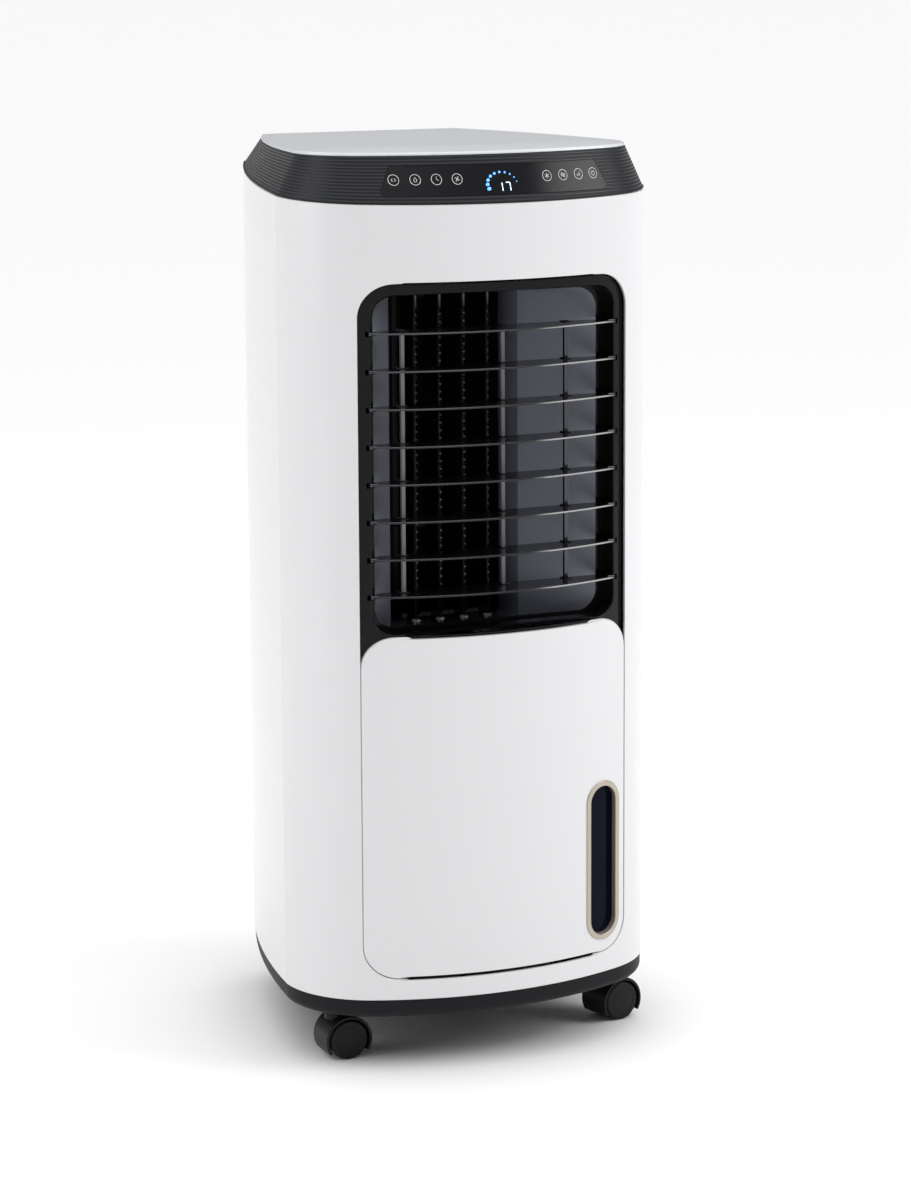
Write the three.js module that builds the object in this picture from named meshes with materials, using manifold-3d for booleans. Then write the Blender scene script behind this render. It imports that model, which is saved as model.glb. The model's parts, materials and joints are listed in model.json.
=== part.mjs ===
// Portable evaporative air cooler on twin-wheel casters.
// Millimetres, +Z up, the front faces -Y, origin on the floor under the middle of the cabinet.
import * as THREE from "three";
import { mergeVertices } from "three/addons/utils/BufferGeometryUtils.js";
import Module from "manifold-3d";

const wasm = await Module();
wasm.setup();

// ---------------------------------------------------------------- driving dimensions
const WIDTH = 384; // cabinet, across the side seams
const DEPTH = 395; // cabinet, front crown to rear grille frame
const REAR_RELIEF = 4; // rear wall behind the grille frame's face
const FRONT_RADIUS = 341; // plan radius of the bowed front
const CORNER_RADIUS = 95; // plan radius of the front corners
const REAR_HALF_WIDTH = 129.4; // out to the rear corner circles, in plan
const SEAM_KINK_DEG = 5; // how far the sides turn in at the seam
const REAR_CORNER_RADIUS = 18;
const WALL = 3; // moulded walls
const OVERCUT = 12; // how far a cutting tool runs past a wall
const GAP = 0.3; // between pieces that touch
const PLAY = 0.5; // around pieces that move or drop in

const BASE_BOTTOM = 54.5;
const BASE_TOP = 73;
const BASE_FLOOR = 5.5; // thickness of the tray's floor
const BASE_FILLET = 8; // rounding of the tray's lower edge
const EDGE_STEPS = 3; // faces round the edges of tray and lid
const BASE_INSET = 1.2; // tray edge inside the shell's outline
const BAND_FRONT_Z = 855; // lower edge of the top band at the front
const BAND_SLOPE = 0.05; // rise of that edge per millimetre towards the rear
const BAND_TOP_Z = 900.5;
const BAND_INSET = 18.5; // how far the band leans in
const LID_EDGE = 3; // radius of the lid's rounded edge
const LID_CROWN = 3; // further rise of the lid to its middle
const LID_SHOULDER = { inset: 24, rise: 2.1 }; // where the crown starts to level out
const LID_FLAT_INSET = 60; // level middle, in from the lid's edge
const LID_SPIGOT = 4.5; // depth of the lid's locating rim

const BAY_HALF_WIDTH = 142.4; // front recess that holds outlet and lower panel
const BAY_TOP = 780;
const BAY_BOTTOM = 94.4;
const BAY_RADIUS = 33;
const BAY_DEPTH = 5; // outlet surround behind the shell's face
const PANEL_TOP = 436.6; // lower front panel
const PANEL_THICKNESS = 4.4;
const FLANGE_BOTTOM = 405; // surround's flange behind the lower panel

const OUTLET_HALF_WIDTH = 128.7;
const OUTLET_BOTTOM = 438.8;
const OUTLET_TOP = 768.3;
const OUTLET_RADIUS = 20;
const WELL_DEPTH = 49.5; // outlet's straight walls, from the front crown
const LIP = 2.3; // thickness of those walls
const FUNNEL_LEDGE = 9.7; // duct's front flange seen inside the outlet
const THROAT_HALF_WIDTH = 70;
const THROAT_RADIUS = 5;
const THROAT_BOTTOM = 419;
const THROAT_TOP = 760.5;
const THROAT_FRONT = 130; // from the front crown
const THROAT_REAR = 178;
const DUCT_WALL = 2;

const LOUVRE_COUNT = 8;
const LOUVRE_THICKNESS = 2.4;
const LOUVRE_SETBACK = 3.5; // blade's front edge behind the shell's face
const LOUVRE_BACK = 48; // blade's rear edge, from the front crown
const LOUVRE_PIVOT = 33; // pivot line, from the front crown
const LOUVRE_PIN_RADIUS = 2.3;
const LINK_SETBACK = 42.5; // tie bars, from the front crown
const LINK_SIZE = 4;
const LINK_PLAY = 1.5; // blade's slot beyond the bar, each way along Y
const LINK_PLACES = { left: -92, centre: 14, right: 82 };

const VANE_COUNT = 4;
const VANE_PITCH = 26.1;
const VANE_THICKNESS = 2;
const VANE_PIVOT = 137.5; // from the front crown
const VANE_NOSE = 3.5; // blade in front of its pivot
const VANE_CHORD = 38;
const VANE_PIN_RADIUS = 2;
const VANE_LINK_OFFSET = 28; // tie bar behind the pivot
const VANE_LINK_SIZE = 4;
const VANE_LINK_LIFT = 5; // tie bar above the duct's floor
const VANE_STUB_RADIUS = 1; // on each vane, through the tie bar

const FAN_SETBACK = 240; // rotor axis, from the front crown
const FAN_RADIUS = 47;
const FAN_BLADES = 16;
const FAN_END_GAP = 14; // rotor to housing plates
const FAN_CLEARANCE = 5; // rotor to stabiliser
const SHAFT_RADIUS = 4;
const MOTOR_RADIUS = 38;
const MOTOR_HEIGHT = 60;
const MOTOR_NOSE = 21; // radii of the end faces and of their shoulders
const MOTOR_SHOULDER = 23;
const MOTOR_LEG_X = 26.6;
const GUIDE_SWEEP_DEG = 130; // spiral guide, round the rotor
const FAN_BLADE_CHORD = 11.75;
const SHELF_Z = 332; // deck between tank bay and air path
const SHELF_THICKNESS = 4;

const PAD_FRONT = 322; // honeycomb pad, from the front crown
const PAD_THICKNESS = 36;
const PAD_HALF_WIDTH = 108;
const PAD_TOP = 758;
const GRILLE_HALF_WIDTH = 100;
const GRILLE_BOTTOM = 352;
const GRILLE_TOP = 800;
const GRILLE_THICKNESS = 7;
const GRILLE_FRAME = 10;
const GRILLE_CORNER = 3;
const GRILLE_SWING_ROOM = 4; // under the grille, for its lower edge as it tilts
const GRILLE_SLATS = 24;
const GRILLE_OPEN_SHARE = 0.64; // of the slats' pitch
const FILTER_THICKNESS = 2;

const TANK_HALF_WIDTH = 76;
const TANK_FRONT = 58; // from the front crown
const TANK_TOP = 290;
const TANK_WALL = 2.5;
const TANK_GRIP = { halfWidth: 45, bottom: 225, top: 255, radius: 10, depth: 22 };
const PUMP = { x: -45, radius: 22, height: 62, spout: 6 };
const LATCH = { radius: 7, length: 36, thickness: 3, z: 303 };
const GLAND = { x: 78, z: 318, radius: 8 };

const WINDOW_X = 112.8; // water-level window
const WINDOW_BOTTOM = 107.9;
const WINDOW_TOP = 271.6;
const WINDOW_RIM = 21.5; // half-widths: rim, sleeve and lens
const WINDOW_SLEEVE = 18.7;
const WINDOW_CLEAR = 16;
const WINDOW_RECESS = 6; // lens behind the panel's face

const CONTROL_HALF_BOTTOM = 122; // control panel, a trapezoid on the band
const CONTROL_HALF_TOP = 108.5;
const CONTROL_BOTTOM = 862.5;
const CONTROL_TOP = 891.5;
const CONTROL_THICKNESS = 2.2;
const CONTROL_CORNER = 4;

const CASTER_X = 150; // swivel axes
const CASTER_FRONT = 92; // from the front crown
const CASTER_REAR = 300;
const CASTER_REAR_X = 88;
const CASTER_TRAIL = 9;
const CASTER_WIDTH = 38;
const WHEEL_RADIUS = 20;
const HOOD_CLEARANCE = 1.7; // wheel to the inside of its hood
const HOOD_WALL = 2.8;
const HOOD_END_DEG = -32; // where the hood stops below the axle's level
const WEB_WIDTH = 7;
const WHEEL_CHAMFER = 1.5; // at the disc's edge
const WHEEL_DOME = 0.4; // rise of the disc to its middle
const AXLE_RADIUS = 3;
const STEM_RADIUS = 5;
const CASTER_TURNS = { fl: 0, fr: 13, rl: 62, rr: -48 }; // degrees about the stem

// ---------------------------------------------------------------- derived levels
const Y_FRONT = -DEPTH / 2;
const Y_WALL = DEPTH / 2 - REAR_RELIEF;
const fromFront = (distance) => Y_FRONT + distance;
const SHELL_BOTTOM = BASE_TOP + GAP;
const rad = THREE.MathUtils.degToRad;

// plan centres of the outline's arcs
const frontCentreY = Y_FRONT + FRONT_RADIUS;
const cornerX = WIDTH / 2 - CORNER_RADIUS;
const cornerY =
  frontCentreY - Math.sqrt((FRONT_RADIUS - CORNER_RADIUS) ** 2 - cornerX ** 2);
// the sides' arc leaves the seam turned in by the kink and runs smoothly into the rear corner
const inward = new THREE.Vector2(Math.cos(rad(SEAM_KINK_DEG)), Math.sin(rad(SEAM_KINK_DEG)));
const rearCorner = new THREE.Vector2(
  REAR_HALF_WIDTH - REAR_CORNER_RADIUS,
  Y_WALL - REAR_CORNER_RADIUS,
);
const seamToRear = rearCorner.clone().sub(new THREE.Vector2(WIDTH / 2, cornerY));
const SIDE_RADIUS =
  (REAR_CORNER_RADIUS ** 2 - seamToRear.lengthSq()) /
  (2 * (seamToRear.dot(inward) + REAR_CORNER_RADIUS));
const sideX = SIDE_RADIUS * inward.x - WIDTH / 2;
const sideY = cornerY - SIDE_RADIUS * inward.y;
const HOOD_RADIUS = WHEEL_RADIUS + HOOD_CLEARANCE + HOOD_WALL;

// faces along the arcs of the outline and of the bowed front
const STEPS = { front: 14, corner: 9, side: 5, rear: 3, bowed: 14, round: 3 };

// ---------------------------------------------------------------- solids and meshes
const root = new THREE.Group();

function solid(geometry) {
  const bare = geometry.clone();
  bare.deleteAttribute("normal");
  bare.deleteAttribute("uv");
  const merged = mergeVertices(bare, 1e-4);
  const mesh = new wasm.Mesh({
    numProp: 3,
    vertProperties: merged.attributes.position.array,
    triVerts: new Uint32Array(merged.index.array),
  });
  return new wasm.Manifold(mesh);
}

function geometryOf(body) {
  const mesh = body.getMesh();
  const geometry = new THREE.BufferGeometry();
  geometry.setAttribute("position", new THREE.BufferAttribute(mesh.vertProperties, 3));
  geometry.setIndex(new THREE.BufferAttribute(mesh.triVerts, 1));
  geometry.computeVertexNormals();
  return geometry;
}

function place(name, body, material, parent = root) {
  const geometry = body.isBufferGeometry ? body : geometryOf(body);
  const mesh = new THREE.Mesh(geometry, material);
  mesh.name = name;
  parent.add(mesh);
  return mesh;
}

const finish = (color, roughness, metalness = 0) =>
  new THREE.MeshStandardMaterial({ color, roughness, metalness });

const WHITE = finish(0xf2f2f2, 0.25);
const CHARCOAL = finish(0x2e3035, 0.4);
const BLACK = finish(0x141416, 0.3);
const PANEL_BLACK = finish(0x1a1b1e, 0.15);
const SATIN_BLACK = finish(0x202124, 0.5);
const GOLD = finish(0xe3d6bd, 0.3, 0.4);
const NAVY = finish(0x0c1220, 0.1);
const GREY = finish(0x8b8e93, 0.45);
const STEEL = finish(0xb8bbc0, 0.3, 0.9);
const GREEN = finish(0x1f5a34, 0.6);
const PAD_BROWN = finish(0x7a6a4a, 0.9);
const CLEAR_BLUE = finish(0x9fb4c8, 0.2);

const box = (x0, x1, y0, y1, z0, z1) =>
  solid(
    new THREE.BoxGeometry(x1 - x0, y1 - y0, z1 - z0).translate(
      (x0 + x1) / 2,
      (y0 + y1) / 2,
      (z0 + z1) / 2,
    ),
  );

// a vertical cylinder from z0 to z1
const post = (x, y, radius, z0, z1, segments = 12) =>
  solid(
    new THREE.CylinderGeometry(radius, radius, z1 - z0, segments)
      .rotateX(Math.PI / 2)
      .translate(x, y, (z0 + z1) / 2),
  );

// a cylinder along X from x0 to x1
const rod = (x0, x1, y, z, radius, segments = 8) =>
  solid(
    new THREE.CylinderGeometry(radius, radius, x1 - x0, segments)
      .rotateZ(Math.PI / 2)
      .translate((x0 + x1) / 2, y, z),
  );

// a shape drawn in plan, extruded from z0 to z1
const prism = (shape, z0, z1, curveSegments = 8) =>
  solid(
    new THREE.ExtrudeGeometry(shape, {
      depth: z1 - z0,
      bevelEnabled: false,
      curveSegments,
    }).translate(0, 0, z0),
  );

// a shape drawn in the X-Z plane, extruded from y0 to y1
const frontPrism = (shape, y0, y1, curveSegments = STEPS.round) =>
  solid(
    new THREE.ExtrudeGeometry(shape, { depth: y1 - y0, bevelEnabled: false, curveSegments })
      .rotateX(Math.PI / 2)
      .translate(0, y1, 0),
  );

function roundedRect(x0, x1, z0, z1, radius) {
  const shape = new THREE.Shape();
  shape.absarc(x1 - radius, z0 + radius, radius, -Math.PI / 2, 0);
  shape.absarc(x1 - radius, z1 - radius, radius, 0, Math.PI / 2);
  shape.absarc(x0 + radius, z1 - radius, radius, Math.PI / 2, Math.PI);
  shape.absarc(x0 + radius, z0 + radius, radius, Math.PI, 1.5 * Math.PI);
  shape.closePath();
  return shape;
}

const slot = (x, halfWidth, z0, z1) => roundedRect(x - halfWidth, x + halfWidth, z0, z1, halfWidth);

// ---------------------------------------------------------------- the cabinet's outline
function arcPoints(cx, cy, radius, from, to, count) {
  const points = [];
  for (let i = 0; i <= count; i++) {
    const angle = from + ((to - from) * i) / count;
    points.push(new THREE.Vector2(cx + radius * Math.cos(angle), cy + radius * Math.sin(angle)));
  }
  return points;
}

// Right half of the outline from the front crown to the middle of the rear, moved in by inset.
function halfOutline(inset) {
  const tangent = Math.atan2(cornerY - frontCentreY, cornerX);
  const sideRadius = SIDE_RADIUS - inset;
  const seamAngle = Math.asin((cornerY - sideY) / sideRadius);
  const rearRadius = Math.max(REAR_CORNER_RADIUS - inset, PLAY);
  const rearX =
    Math.sqrt((sideRadius - rearRadius) ** 2 - (Y_WALL - inset - rearRadius - sideY) ** 2) - sideX;
  const rearY = Y_WALL - inset - rearRadius;
  const rearAngle = Math.atan2(rearY - sideY, rearX + sideX);
  const front = arcPoints(
    0,
    frontCentreY,
    FRONT_RADIUS - inset,
    -Math.PI / 2,
    tangent,
    STEPS.front,
  );
  const corner = arcPoints(cornerX, cornerY, CORNER_RADIUS - inset, tangent, 0, STEPS.corner);
  const side = arcPoints(-sideX, sideY, sideRadius, seamAngle, rearAngle, STEPS.side);
  const rear = arcPoints(rearX, rearY, rearRadius, rearAngle, Math.PI / 2, STEPS.rear);
  return [...front, ...corner.slice(1), ...side.slice(1), ...rear.slice(1)];
}

function outline(inset) {
  const right = halfOutline(inset);
  const left = right
    .slice(1)
    .reverse()
    .map((p) => new THREE.Vector2(-p.x, p.y));
  return [...right, ...left];
}

// A solid through a stack of outlines, each { inset, z } with z a number or a function of y.
function loft(levels) {
  const rings = levels.map(({ inset, z }) =>
    outline(inset).map((p) => [p.x, p.y, typeof z === "function" ? z(p.y) : z]),
  );
  return ringSolid(rings);
}

// A solid through rings of equal point count, each anticlockwise seen from the last ring's side.
function ringSolid(rings) {
  const count = rings[0].length;
  const position = rings.flat(2);
  const index = [];
  for (let r = 0; r + 1 < rings.length; r++) {
    for (let i = 0; i < count; i++) {
      const a = r * count + i;
      const b = r * count + ((i + 1) % count);
      index.push(a, b, b + count, a, b + count, a + count);
    }
  }
  for (const [ring, flip] of [[0, true], [rings.length - 1, false]]) {
    const flat = rings[ring].map(ringPoint(rings[ring]));
    const anticlockwise = THREE.ShapeUtils.area(flat) > 0;
    for (const [a, b, c] of THREE.ShapeUtils.triangulateShape(flat, [])) {
      const base = ring * count;
      if (flip === anticlockwise) index.push(base + a, base + c, base + b);
      else index.push(base + a, base + b, base + c);
    }
  }
  const geometry = new THREE.BufferGeometry();
  geometry.setAttribute("position", new THREE.Float32BufferAttribute(position, 3));
  geometry.setIndex(index);
  return solid(geometry);
}

// Cap points in the plane the ring mostly lies in: plan for level rings, X-Z for upright ones.
function ringPoint(ring) {
  const spread = (axis) =>
    Math.max(...ring.map((p) => p[axis])) - Math.min(...ring.map((p) => p[axis]));
  const upright = spread(1) < spread(2);
  return (p) => (upright ? new THREE.Vector2(p[0], p[2]) : new THREE.Vector2(p[0], p[1]));
}

// The bowed front face between two depths, as a plate from z0 to z1.
function bowedPlate(outerInset, innerInset, z0, z1) {
  const shape = new THREE.Shape();
  const half = Math.asin((BAY_HALF_WIDTH + 4 * WALL) / FRONT_RADIUS);
  shape.absarc(0, frontCentreY, FRONT_RADIUS - outerInset, -Math.PI / 2 - half, -Math.PI / 2 + half);
  shape.absarc(
    0,
    frontCentreY,
    FRONT_RADIUS - innerInset,
    -Math.PI / 2 + half,
    -Math.PI / 2 - half,
    true,
  );
  shape.closePath();
  return prism(shape, z0, z1, STEPS.bowed);
}

const throughFront = (shape) => frontPrism(shape, Y_FRONT - WALL, fromFront(THROAT_REAR));

// ---------------------------------------------------------------- shells
const bandFoot = (y) => BAND_FRONT_Z + BAND_SLOPE * (y - Y_FRONT);

function hollowShell() {
  const top = (y) => bandFoot(y) - GAP;
  const outer = loft([
    { inset: 0, z: SHELL_BOTTOM },
    { inset: 0, z: top },
  ]);
  const inner = loft([
    { inset: WALL, z: SHELL_BOTTOM - WALL },
    { inset: WALL, z: (y) => top(y) + WALL },
  ]);
  return outer.subtract(inner);
}

function makeShells() {
  const shell = hollowShell();
  const reach = WIDTH;
  const frontHalf = box(-reach, reach, -reach, cornerY - GAP / 2, 0, BAND_TOP_Z);
  const rearHalf = box(-reach, reach, cornerY + GAP / 2, reach, 0, BAND_TOP_Z);
  const bay = throughFront(
    roundedRect(-BAY_HALF_WIDTH, BAY_HALF_WIDTH, BAY_BOTTOM, BAY_TOP, BAY_RADIUS),
  );
  place("front_shell", shell.intersect(frontHalf).subtract(bay), WHITE);

  const cutRear = (halfWidth, z0, z1, radius) =>
    frontPrism(
      roundedRect(-halfWidth, halfWidth, z0, z1, radius),
      Y_WALL - OVERCUT,
      Y_WALL + WALL,
    );
  const grilleHole = cutRear(
    GRILLE_HALF_WIDTH + 2 * PLAY,
    GRILLE_BOTTOM - GRILLE_SWING_ROOM,
    GRILLE_TOP + 2 * PLAY,
    GRILLE_CORNER + 2 * PLAY,
  );
  // the tank's doorway runs out through the shell's lower edge
  const tankHole = box(
    -TANK_HALF_WIDTH - 2 * PLAY,
    TANK_HALF_WIDTH + 2 * PLAY,
    Y_WALL - OVERCUT,
    Y_WALL + WALL,
    SHELL_BOTTOM - WALL,
    TANK_TOP + 2 * PLAY,
  );
  const glandHole = yCylinder(GLAND.x, GLAND.z, GLAND.radius + GAP, Y_WALL - OVERCUT, DEPTH / 2);
  const latchHole = yCylinder(0, LATCH.z, STEM_RADIUS / 2 + PLAY, Y_WALL - OVERCUT, DEPTH / 2);
  place(
    "rear_shell",
    shell
      .intersect(rearHalf)
      .subtract(grilleHole)
      .subtract(tankHole)
      .subtract(glandHole)
      .subtract(latchHole),
    WHITE,
  );
}

// a cylinder along Y
function yCylinder(x, z, radius, y0, y1, segments = 20) {
  return solid(
    new THREE.CylinderGeometry(radius, radius, y1 - y0, segments).translate(x, (y0 + y1) / 2, z),
  );
}

function makeBaseTray() {
  const levels = [];
  for (let i = 0; i <= EDGE_STEPS; i++) {
    const turn = (i / EDGE_STEPS) * (Math.PI / 2);
    levels.push({
      inset: BASE_INSET + BASE_FILLET * (1 - Math.sin(turn)),
      z: BASE_BOTTOM + BASE_FILLET * (1 - Math.cos(turn)),
    });
  }
  levels.push({ inset: BASE_INSET, z: BASE_TOP });
  let tray = loft(levels).subtract(
    loft([
      { inset: BASE_INSET + WALL + BASE_FLOOR / 2, z: BASE_BOTTOM + BASE_FLOOR },
      { inset: BASE_INSET + WALL, z: BASE_TOP + GAP },
    ]),
  );
  const floorTop = BASE_BOTTOM + BASE_FLOOR;
  const bossTop = BASE_TOP + 4 * WALL;
  for (const { x, y } of casterPlaces()) {
    tray = tray.add(post(x, y, 2 * STEM_RADIUS, floorTop - GAP, bossTop));
    tray = tray.subtract(post(x, y, STEM_RADIUS + PLAY, BASE_BOTTOM - WALL, bossTop - WALL));
  }
  for (const side of [-1, 1]) {
    const x = side * (TANK_HALF_WIDTH + 2 * PLAY + WALL / 2);
    tray = tray.add(
      box(
        x - WALL / 2,
        x + WALL / 2,
        fromFront(CASTER_FRONT) + 4 * STEM_RADIUS,
        fromFront(CASTER_REAR) - 4 * STEM_RADIUS,
        floorTop - GAP,
        floorTop + 6 * WALL,
      ),
    );
  }
  // the tank slides out over this lowered edge
  tray = tray.subtract(
    box(
      -TANK_HALF_WIDTH - 2 * PLAY,
      TANK_HALF_WIDTH + 2 * PLAY,
      Y_WALL - 8 * WALL,
      DEPTH,
      floorTop,
      BASE_TOP + WALL,
    ),
  );
  place("base_tray", tray, SATIN_BLACK);
}

// ---------------------------------------------------------------- outlet
function makeOutletSurround() {
  const face = bowedPlate(BAY_DEPTH, BAY_DEPTH + WALL, FLANGE_BOTTOM, BAY_TOP).intersect(
    throughFront(
      roundedRect(
        -BAY_HALF_WIDTH + PLAY,
        BAY_HALF_WIDTH - PLAY,
        FLANGE_BOTTOM,
        BAY_TOP - PLAY,
        BAY_RADIUS - PLAY,
      ),
    ),
  );
  const mouth = (grow) =>
    roundedRect(
      -OUTLET_HALF_WIDTH - grow,
      OUTLET_HALF_WIDTH + grow,
      OUTLET_BOTTOM - grow,
      OUTLET_TOP + grow,
      OUTLET_RADIUS + grow,
    );
  const behindFace = bowedPlate(BAY_DEPTH + GAP, FRONT_RADIUS / 2, 0, BAND_TOP_Z);
  const well = frontPrism(mouth(LIP), Y_FRONT, fromFront(WELL_DEPTH)).intersect(behindFace);
  let surround = face.add(well).subtract(throughFront(mouth(0)));
  for (const z of louvreLevels()) {
    const pin = rod(
      -OUTLET_HALF_WIDTH - 2 * LIP,
      OUTLET_HALF_WIDTH + 2 * LIP,
      fromFront(LOUVRE_PIVOT),
      z,
      LOUVRE_PIN_RADIUS + PLAY,
    );
    surround = surround.subtract(pin);
  }
  place("outlet_surround", surround, BLACK);
}

const louvrePitch = (OUTLET_TOP - OUTLET_BOTTOM) / (LOUVRE_COUNT + 1);
const louvreLevels = () =>
  Array.from({ length: LOUVRE_COUNT }, (_, i) => OUTLET_TOP - (i + 1) * louvrePitch);

// ring of a rounded rectangle at one depth, for the duct
function ductRing(depth, halfWidth, bottom, top, radius) {
  const points = roundedRect(-halfWidth, halfWidth, bottom, top, radius).getPoints(STEPS.round);
  points.pop();
  return points.map((p) => [p.x, fromFront(depth), p.y]);
}

function ductSolid(grow, front, rear) {
  const ledge = FUNNEL_LEDGE - LIP;
  return ringSolid(
    [
      ductRing(
        front,
        OUTLET_HALF_WIDTH - FUNNEL_LEDGE + grow,
        OUTLET_BOTTOM + LIP - grow,
        OUTLET_TOP - ledge / 2 + grow,
        OUTLET_RADIUS,
      ),
      ductRing(
        THROAT_FRONT,
        THROAT_HALF_WIDTH + grow,
        THROAT_BOTTOM - grow,
        THROAT_TOP + grow,
        THROAT_RADIUS,
      ),
      ductRing(
        rear,
        THROAT_HALF_WIDTH + grow,
        THROAT_BOTTOM - grow,
        THROAT_TOP + grow,
        THROAT_RADIUS,
      ),
    ].reverse(),
  );
}

function makeAirDuct() {
  const front = WELL_DEPTH + GAP;
  const flange = frontPrism(
    roundedRect(
      -OUTLET_HALF_WIDTH - LIP,
      OUTLET_HALF_WIDTH + LIP,
      OUTLET_BOTTOM - LIP,
      OUTLET_TOP + LIP,
      OUTLET_RADIUS + LIP,
    ),
    fromFront(front),
    fromFront(front + DUCT_WALL),
  );
  let duct = flange.add(ductSolid(DUCT_WALL, front + GAP, THROAT_REAR));
  duct = duct.subtract(ductSolid(0, front - 4 * WALL, THROAT_REAR + WALL));
  for (const x of vanePlaces()) {
    duct = duct.subtract(
      post(
        x,
        fromFront(VANE_PIVOT),
        VANE_PIN_RADIUS + PLAY,
        THROAT_BOTTOM - 2 * DUCT_WALL,
        THROAT_TOP + 2 * DUCT_WALL,
        12,
      ),
    );
  }
  place("air_duct", duct, BLACK);
}

function makeLouvres() {
  const halfLength = OUTLET_HALF_WIDTH - 2 * PLAY;
  const radius = FRONT_RADIUS - LOUVRE_SETBACK;
  const half = Math.asin(halfLength / radius);
  const blade = new THREE.Shape();
  blade.absarc(0, frontCentreY, radius, -Math.PI / 2 - half, -Math.PI / 2 + half);
  blade.lineTo(halfLength, fromFront(LOUVRE_BACK));
  blade.lineTo(-halfLength, fromFront(LOUVRE_BACK));
  blade.closePath();
  const slotHalf = LINK_SIZE / 2 + PLAY;
  const slotReach = LINK_SIZE / 2 + LINK_PLAY;
  const linkY = fromFront(LINK_SETBACK);
  const slotAt = (x, z) =>
    box(x - slotHalf, x + slotHalf, linkY - slotReach, linkY + slotReach, z - WALL, z + WALL);
  louvreLevels().forEach((z, i) => {
    const pinEnd = OUTLET_HALF_WIDTH + LIP;
    const pin = rod(-pinEnd, pinEnd, fromFront(LOUVRE_PIVOT), z, LOUVRE_PIN_RADIUS).subtract(
      box(-halfLength + WALL, halfLength - WALL, Y_FRONT, 0, z - louvrePitch, z + louvrePitch),
    );
    let body = prism(blade, z - LOUVRE_THICKNESS / 2, z + LOUVRE_THICKNESS / 2, 10).add(pin);
    for (const x of Object.values(LINK_PLACES)) body = body.subtract(slotAt(x, z));
    place(`louvre_${i + 1}`, body, BLACK);
  });
}

function makeLouvreLinks() {
  const levels = louvreLevels();
  const overhang = 3 * LOUVRE_THICKNESS;
  for (const [side, x] of Object.entries(LINK_PLACES)) {
    place(
      `louvre_link_${side}`,
      box(
        x - LINK_SIZE / 2,
        x + LINK_SIZE / 2,
        fromFront(LINK_SETBACK) - LINK_SIZE / 2,
        fromFront(LINK_SETBACK) + LINK_SIZE / 2,
        levels[LOUVRE_COUNT - 1] - overhang,
        levels[0] + overhang,
      ),
      GREY,
    );
  }
}

const vanePlaces = () =>
  Array.from({ length: VANE_COUNT }, (_, i) => (i - (VANE_COUNT - 1) / 2) * VANE_PITCH);

const vaneLinkY = fromFront(VANE_PIVOT + VANE_LINK_OFFSET);
const vaneLinkZ = THROAT_BOTTOM + VANE_LINK_LIFT;
const SWING_MOTOR = { radius: 14, top: THROAT_BOTTOM - DUCT_WALL - GAP, height: 22 };

function makeVanes() {
  const bottom = THROAT_BOTTOM + 2 * PLAY;
  const top = THROAT_TOP - 2 * PLAY;
  const pivotY = fromFront(VANE_PIVOT);
  vanePlaces().forEach((x, i) => {
    const blade = box(
      x - VANE_THICKNESS / 2,
      x + VANE_THICKNESS / 2,
      pivotY - VANE_NOSE,
      pivotY - VANE_NOSE + VANE_CHORD,
      bottom,
      top,
    );
    const relief = box(
      x - VANE_PITCH / 4,
      x + VANE_PITCH / 4,
      vaneLinkY - 1.5 * VANE_LINK_SIZE,
      vaneLinkY + 3 * VANE_LINK_SIZE,
      bottom - PLAY,
      vaneLinkZ + VANE_LINK_SIZE + PLAY,
    );
    const foot = i === 0 ? SWING_MOTOR.top - SWING_MOTOR.height / 2 : THROAT_BOTTOM - DUCT_WALL;
    const pin = post(x, pivotY, VANE_PIN_RADIUS, foot, THROAT_TOP + DUCT_WALL, 12);
    const stub = post(
      x,
      vaneLinkY,
      VANE_STUB_RADIUS,
      vaneLinkZ + VANE_STUB_RADIUS,
      vaneLinkZ + VANE_LINK_SIZE + 2 * PLAY,
      10,
    );
    place(`swing_vane_${i + 1}`, blade.subtract(relief).add(pin).add(stub), BLACK);
  });
}

function makeVaneLink() {
  const reach = vanePlaces()[VANE_COUNT - 1] + VANE_LINK_SIZE;
  let bar = box(
    -reach,
    reach,
    vaneLinkY - VANE_LINK_SIZE / 2,
    vaneLinkY + VANE_LINK_SIZE / 2,
    vaneLinkZ,
    vaneLinkZ + VANE_LINK_SIZE,
  );
  for (const x of vanePlaces()) {
    bar = bar.subtract(
      post(
        x,
        vaneLinkY,
        VANE_STUB_RADIUS + GAP,
        vaneLinkZ - WALL,
        vaneLinkZ + 2 * VANE_LINK_SIZE,
        10,
      ),
    );
  }
  place("swing_vane_link", bar, GREY);
}

function makeSwingMotor() {
  const [x] = vanePlaces();
  const y = fromFront(VANE_PIVOT);
  const { radius, top, height } = SWING_MOTOR;
  const body = post(x, y, radius, top - height, top).subtract(
    post(x, y, VANE_PIN_RADIUS + PLAY, top - height / 2 - WALL, top + WALL, 12),
  );
  place("swing_motor", body, STEEL);
}

// ---------------------------------------------------------------- fan
const HOUSING_BOTTOM = THROAT_BOTTOM - DUCT_WALL;
const HOUSING_TOP = THROAT_TOP + DUCT_WALL;
const fanY = fromFront(FAN_SETBACK);

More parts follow.
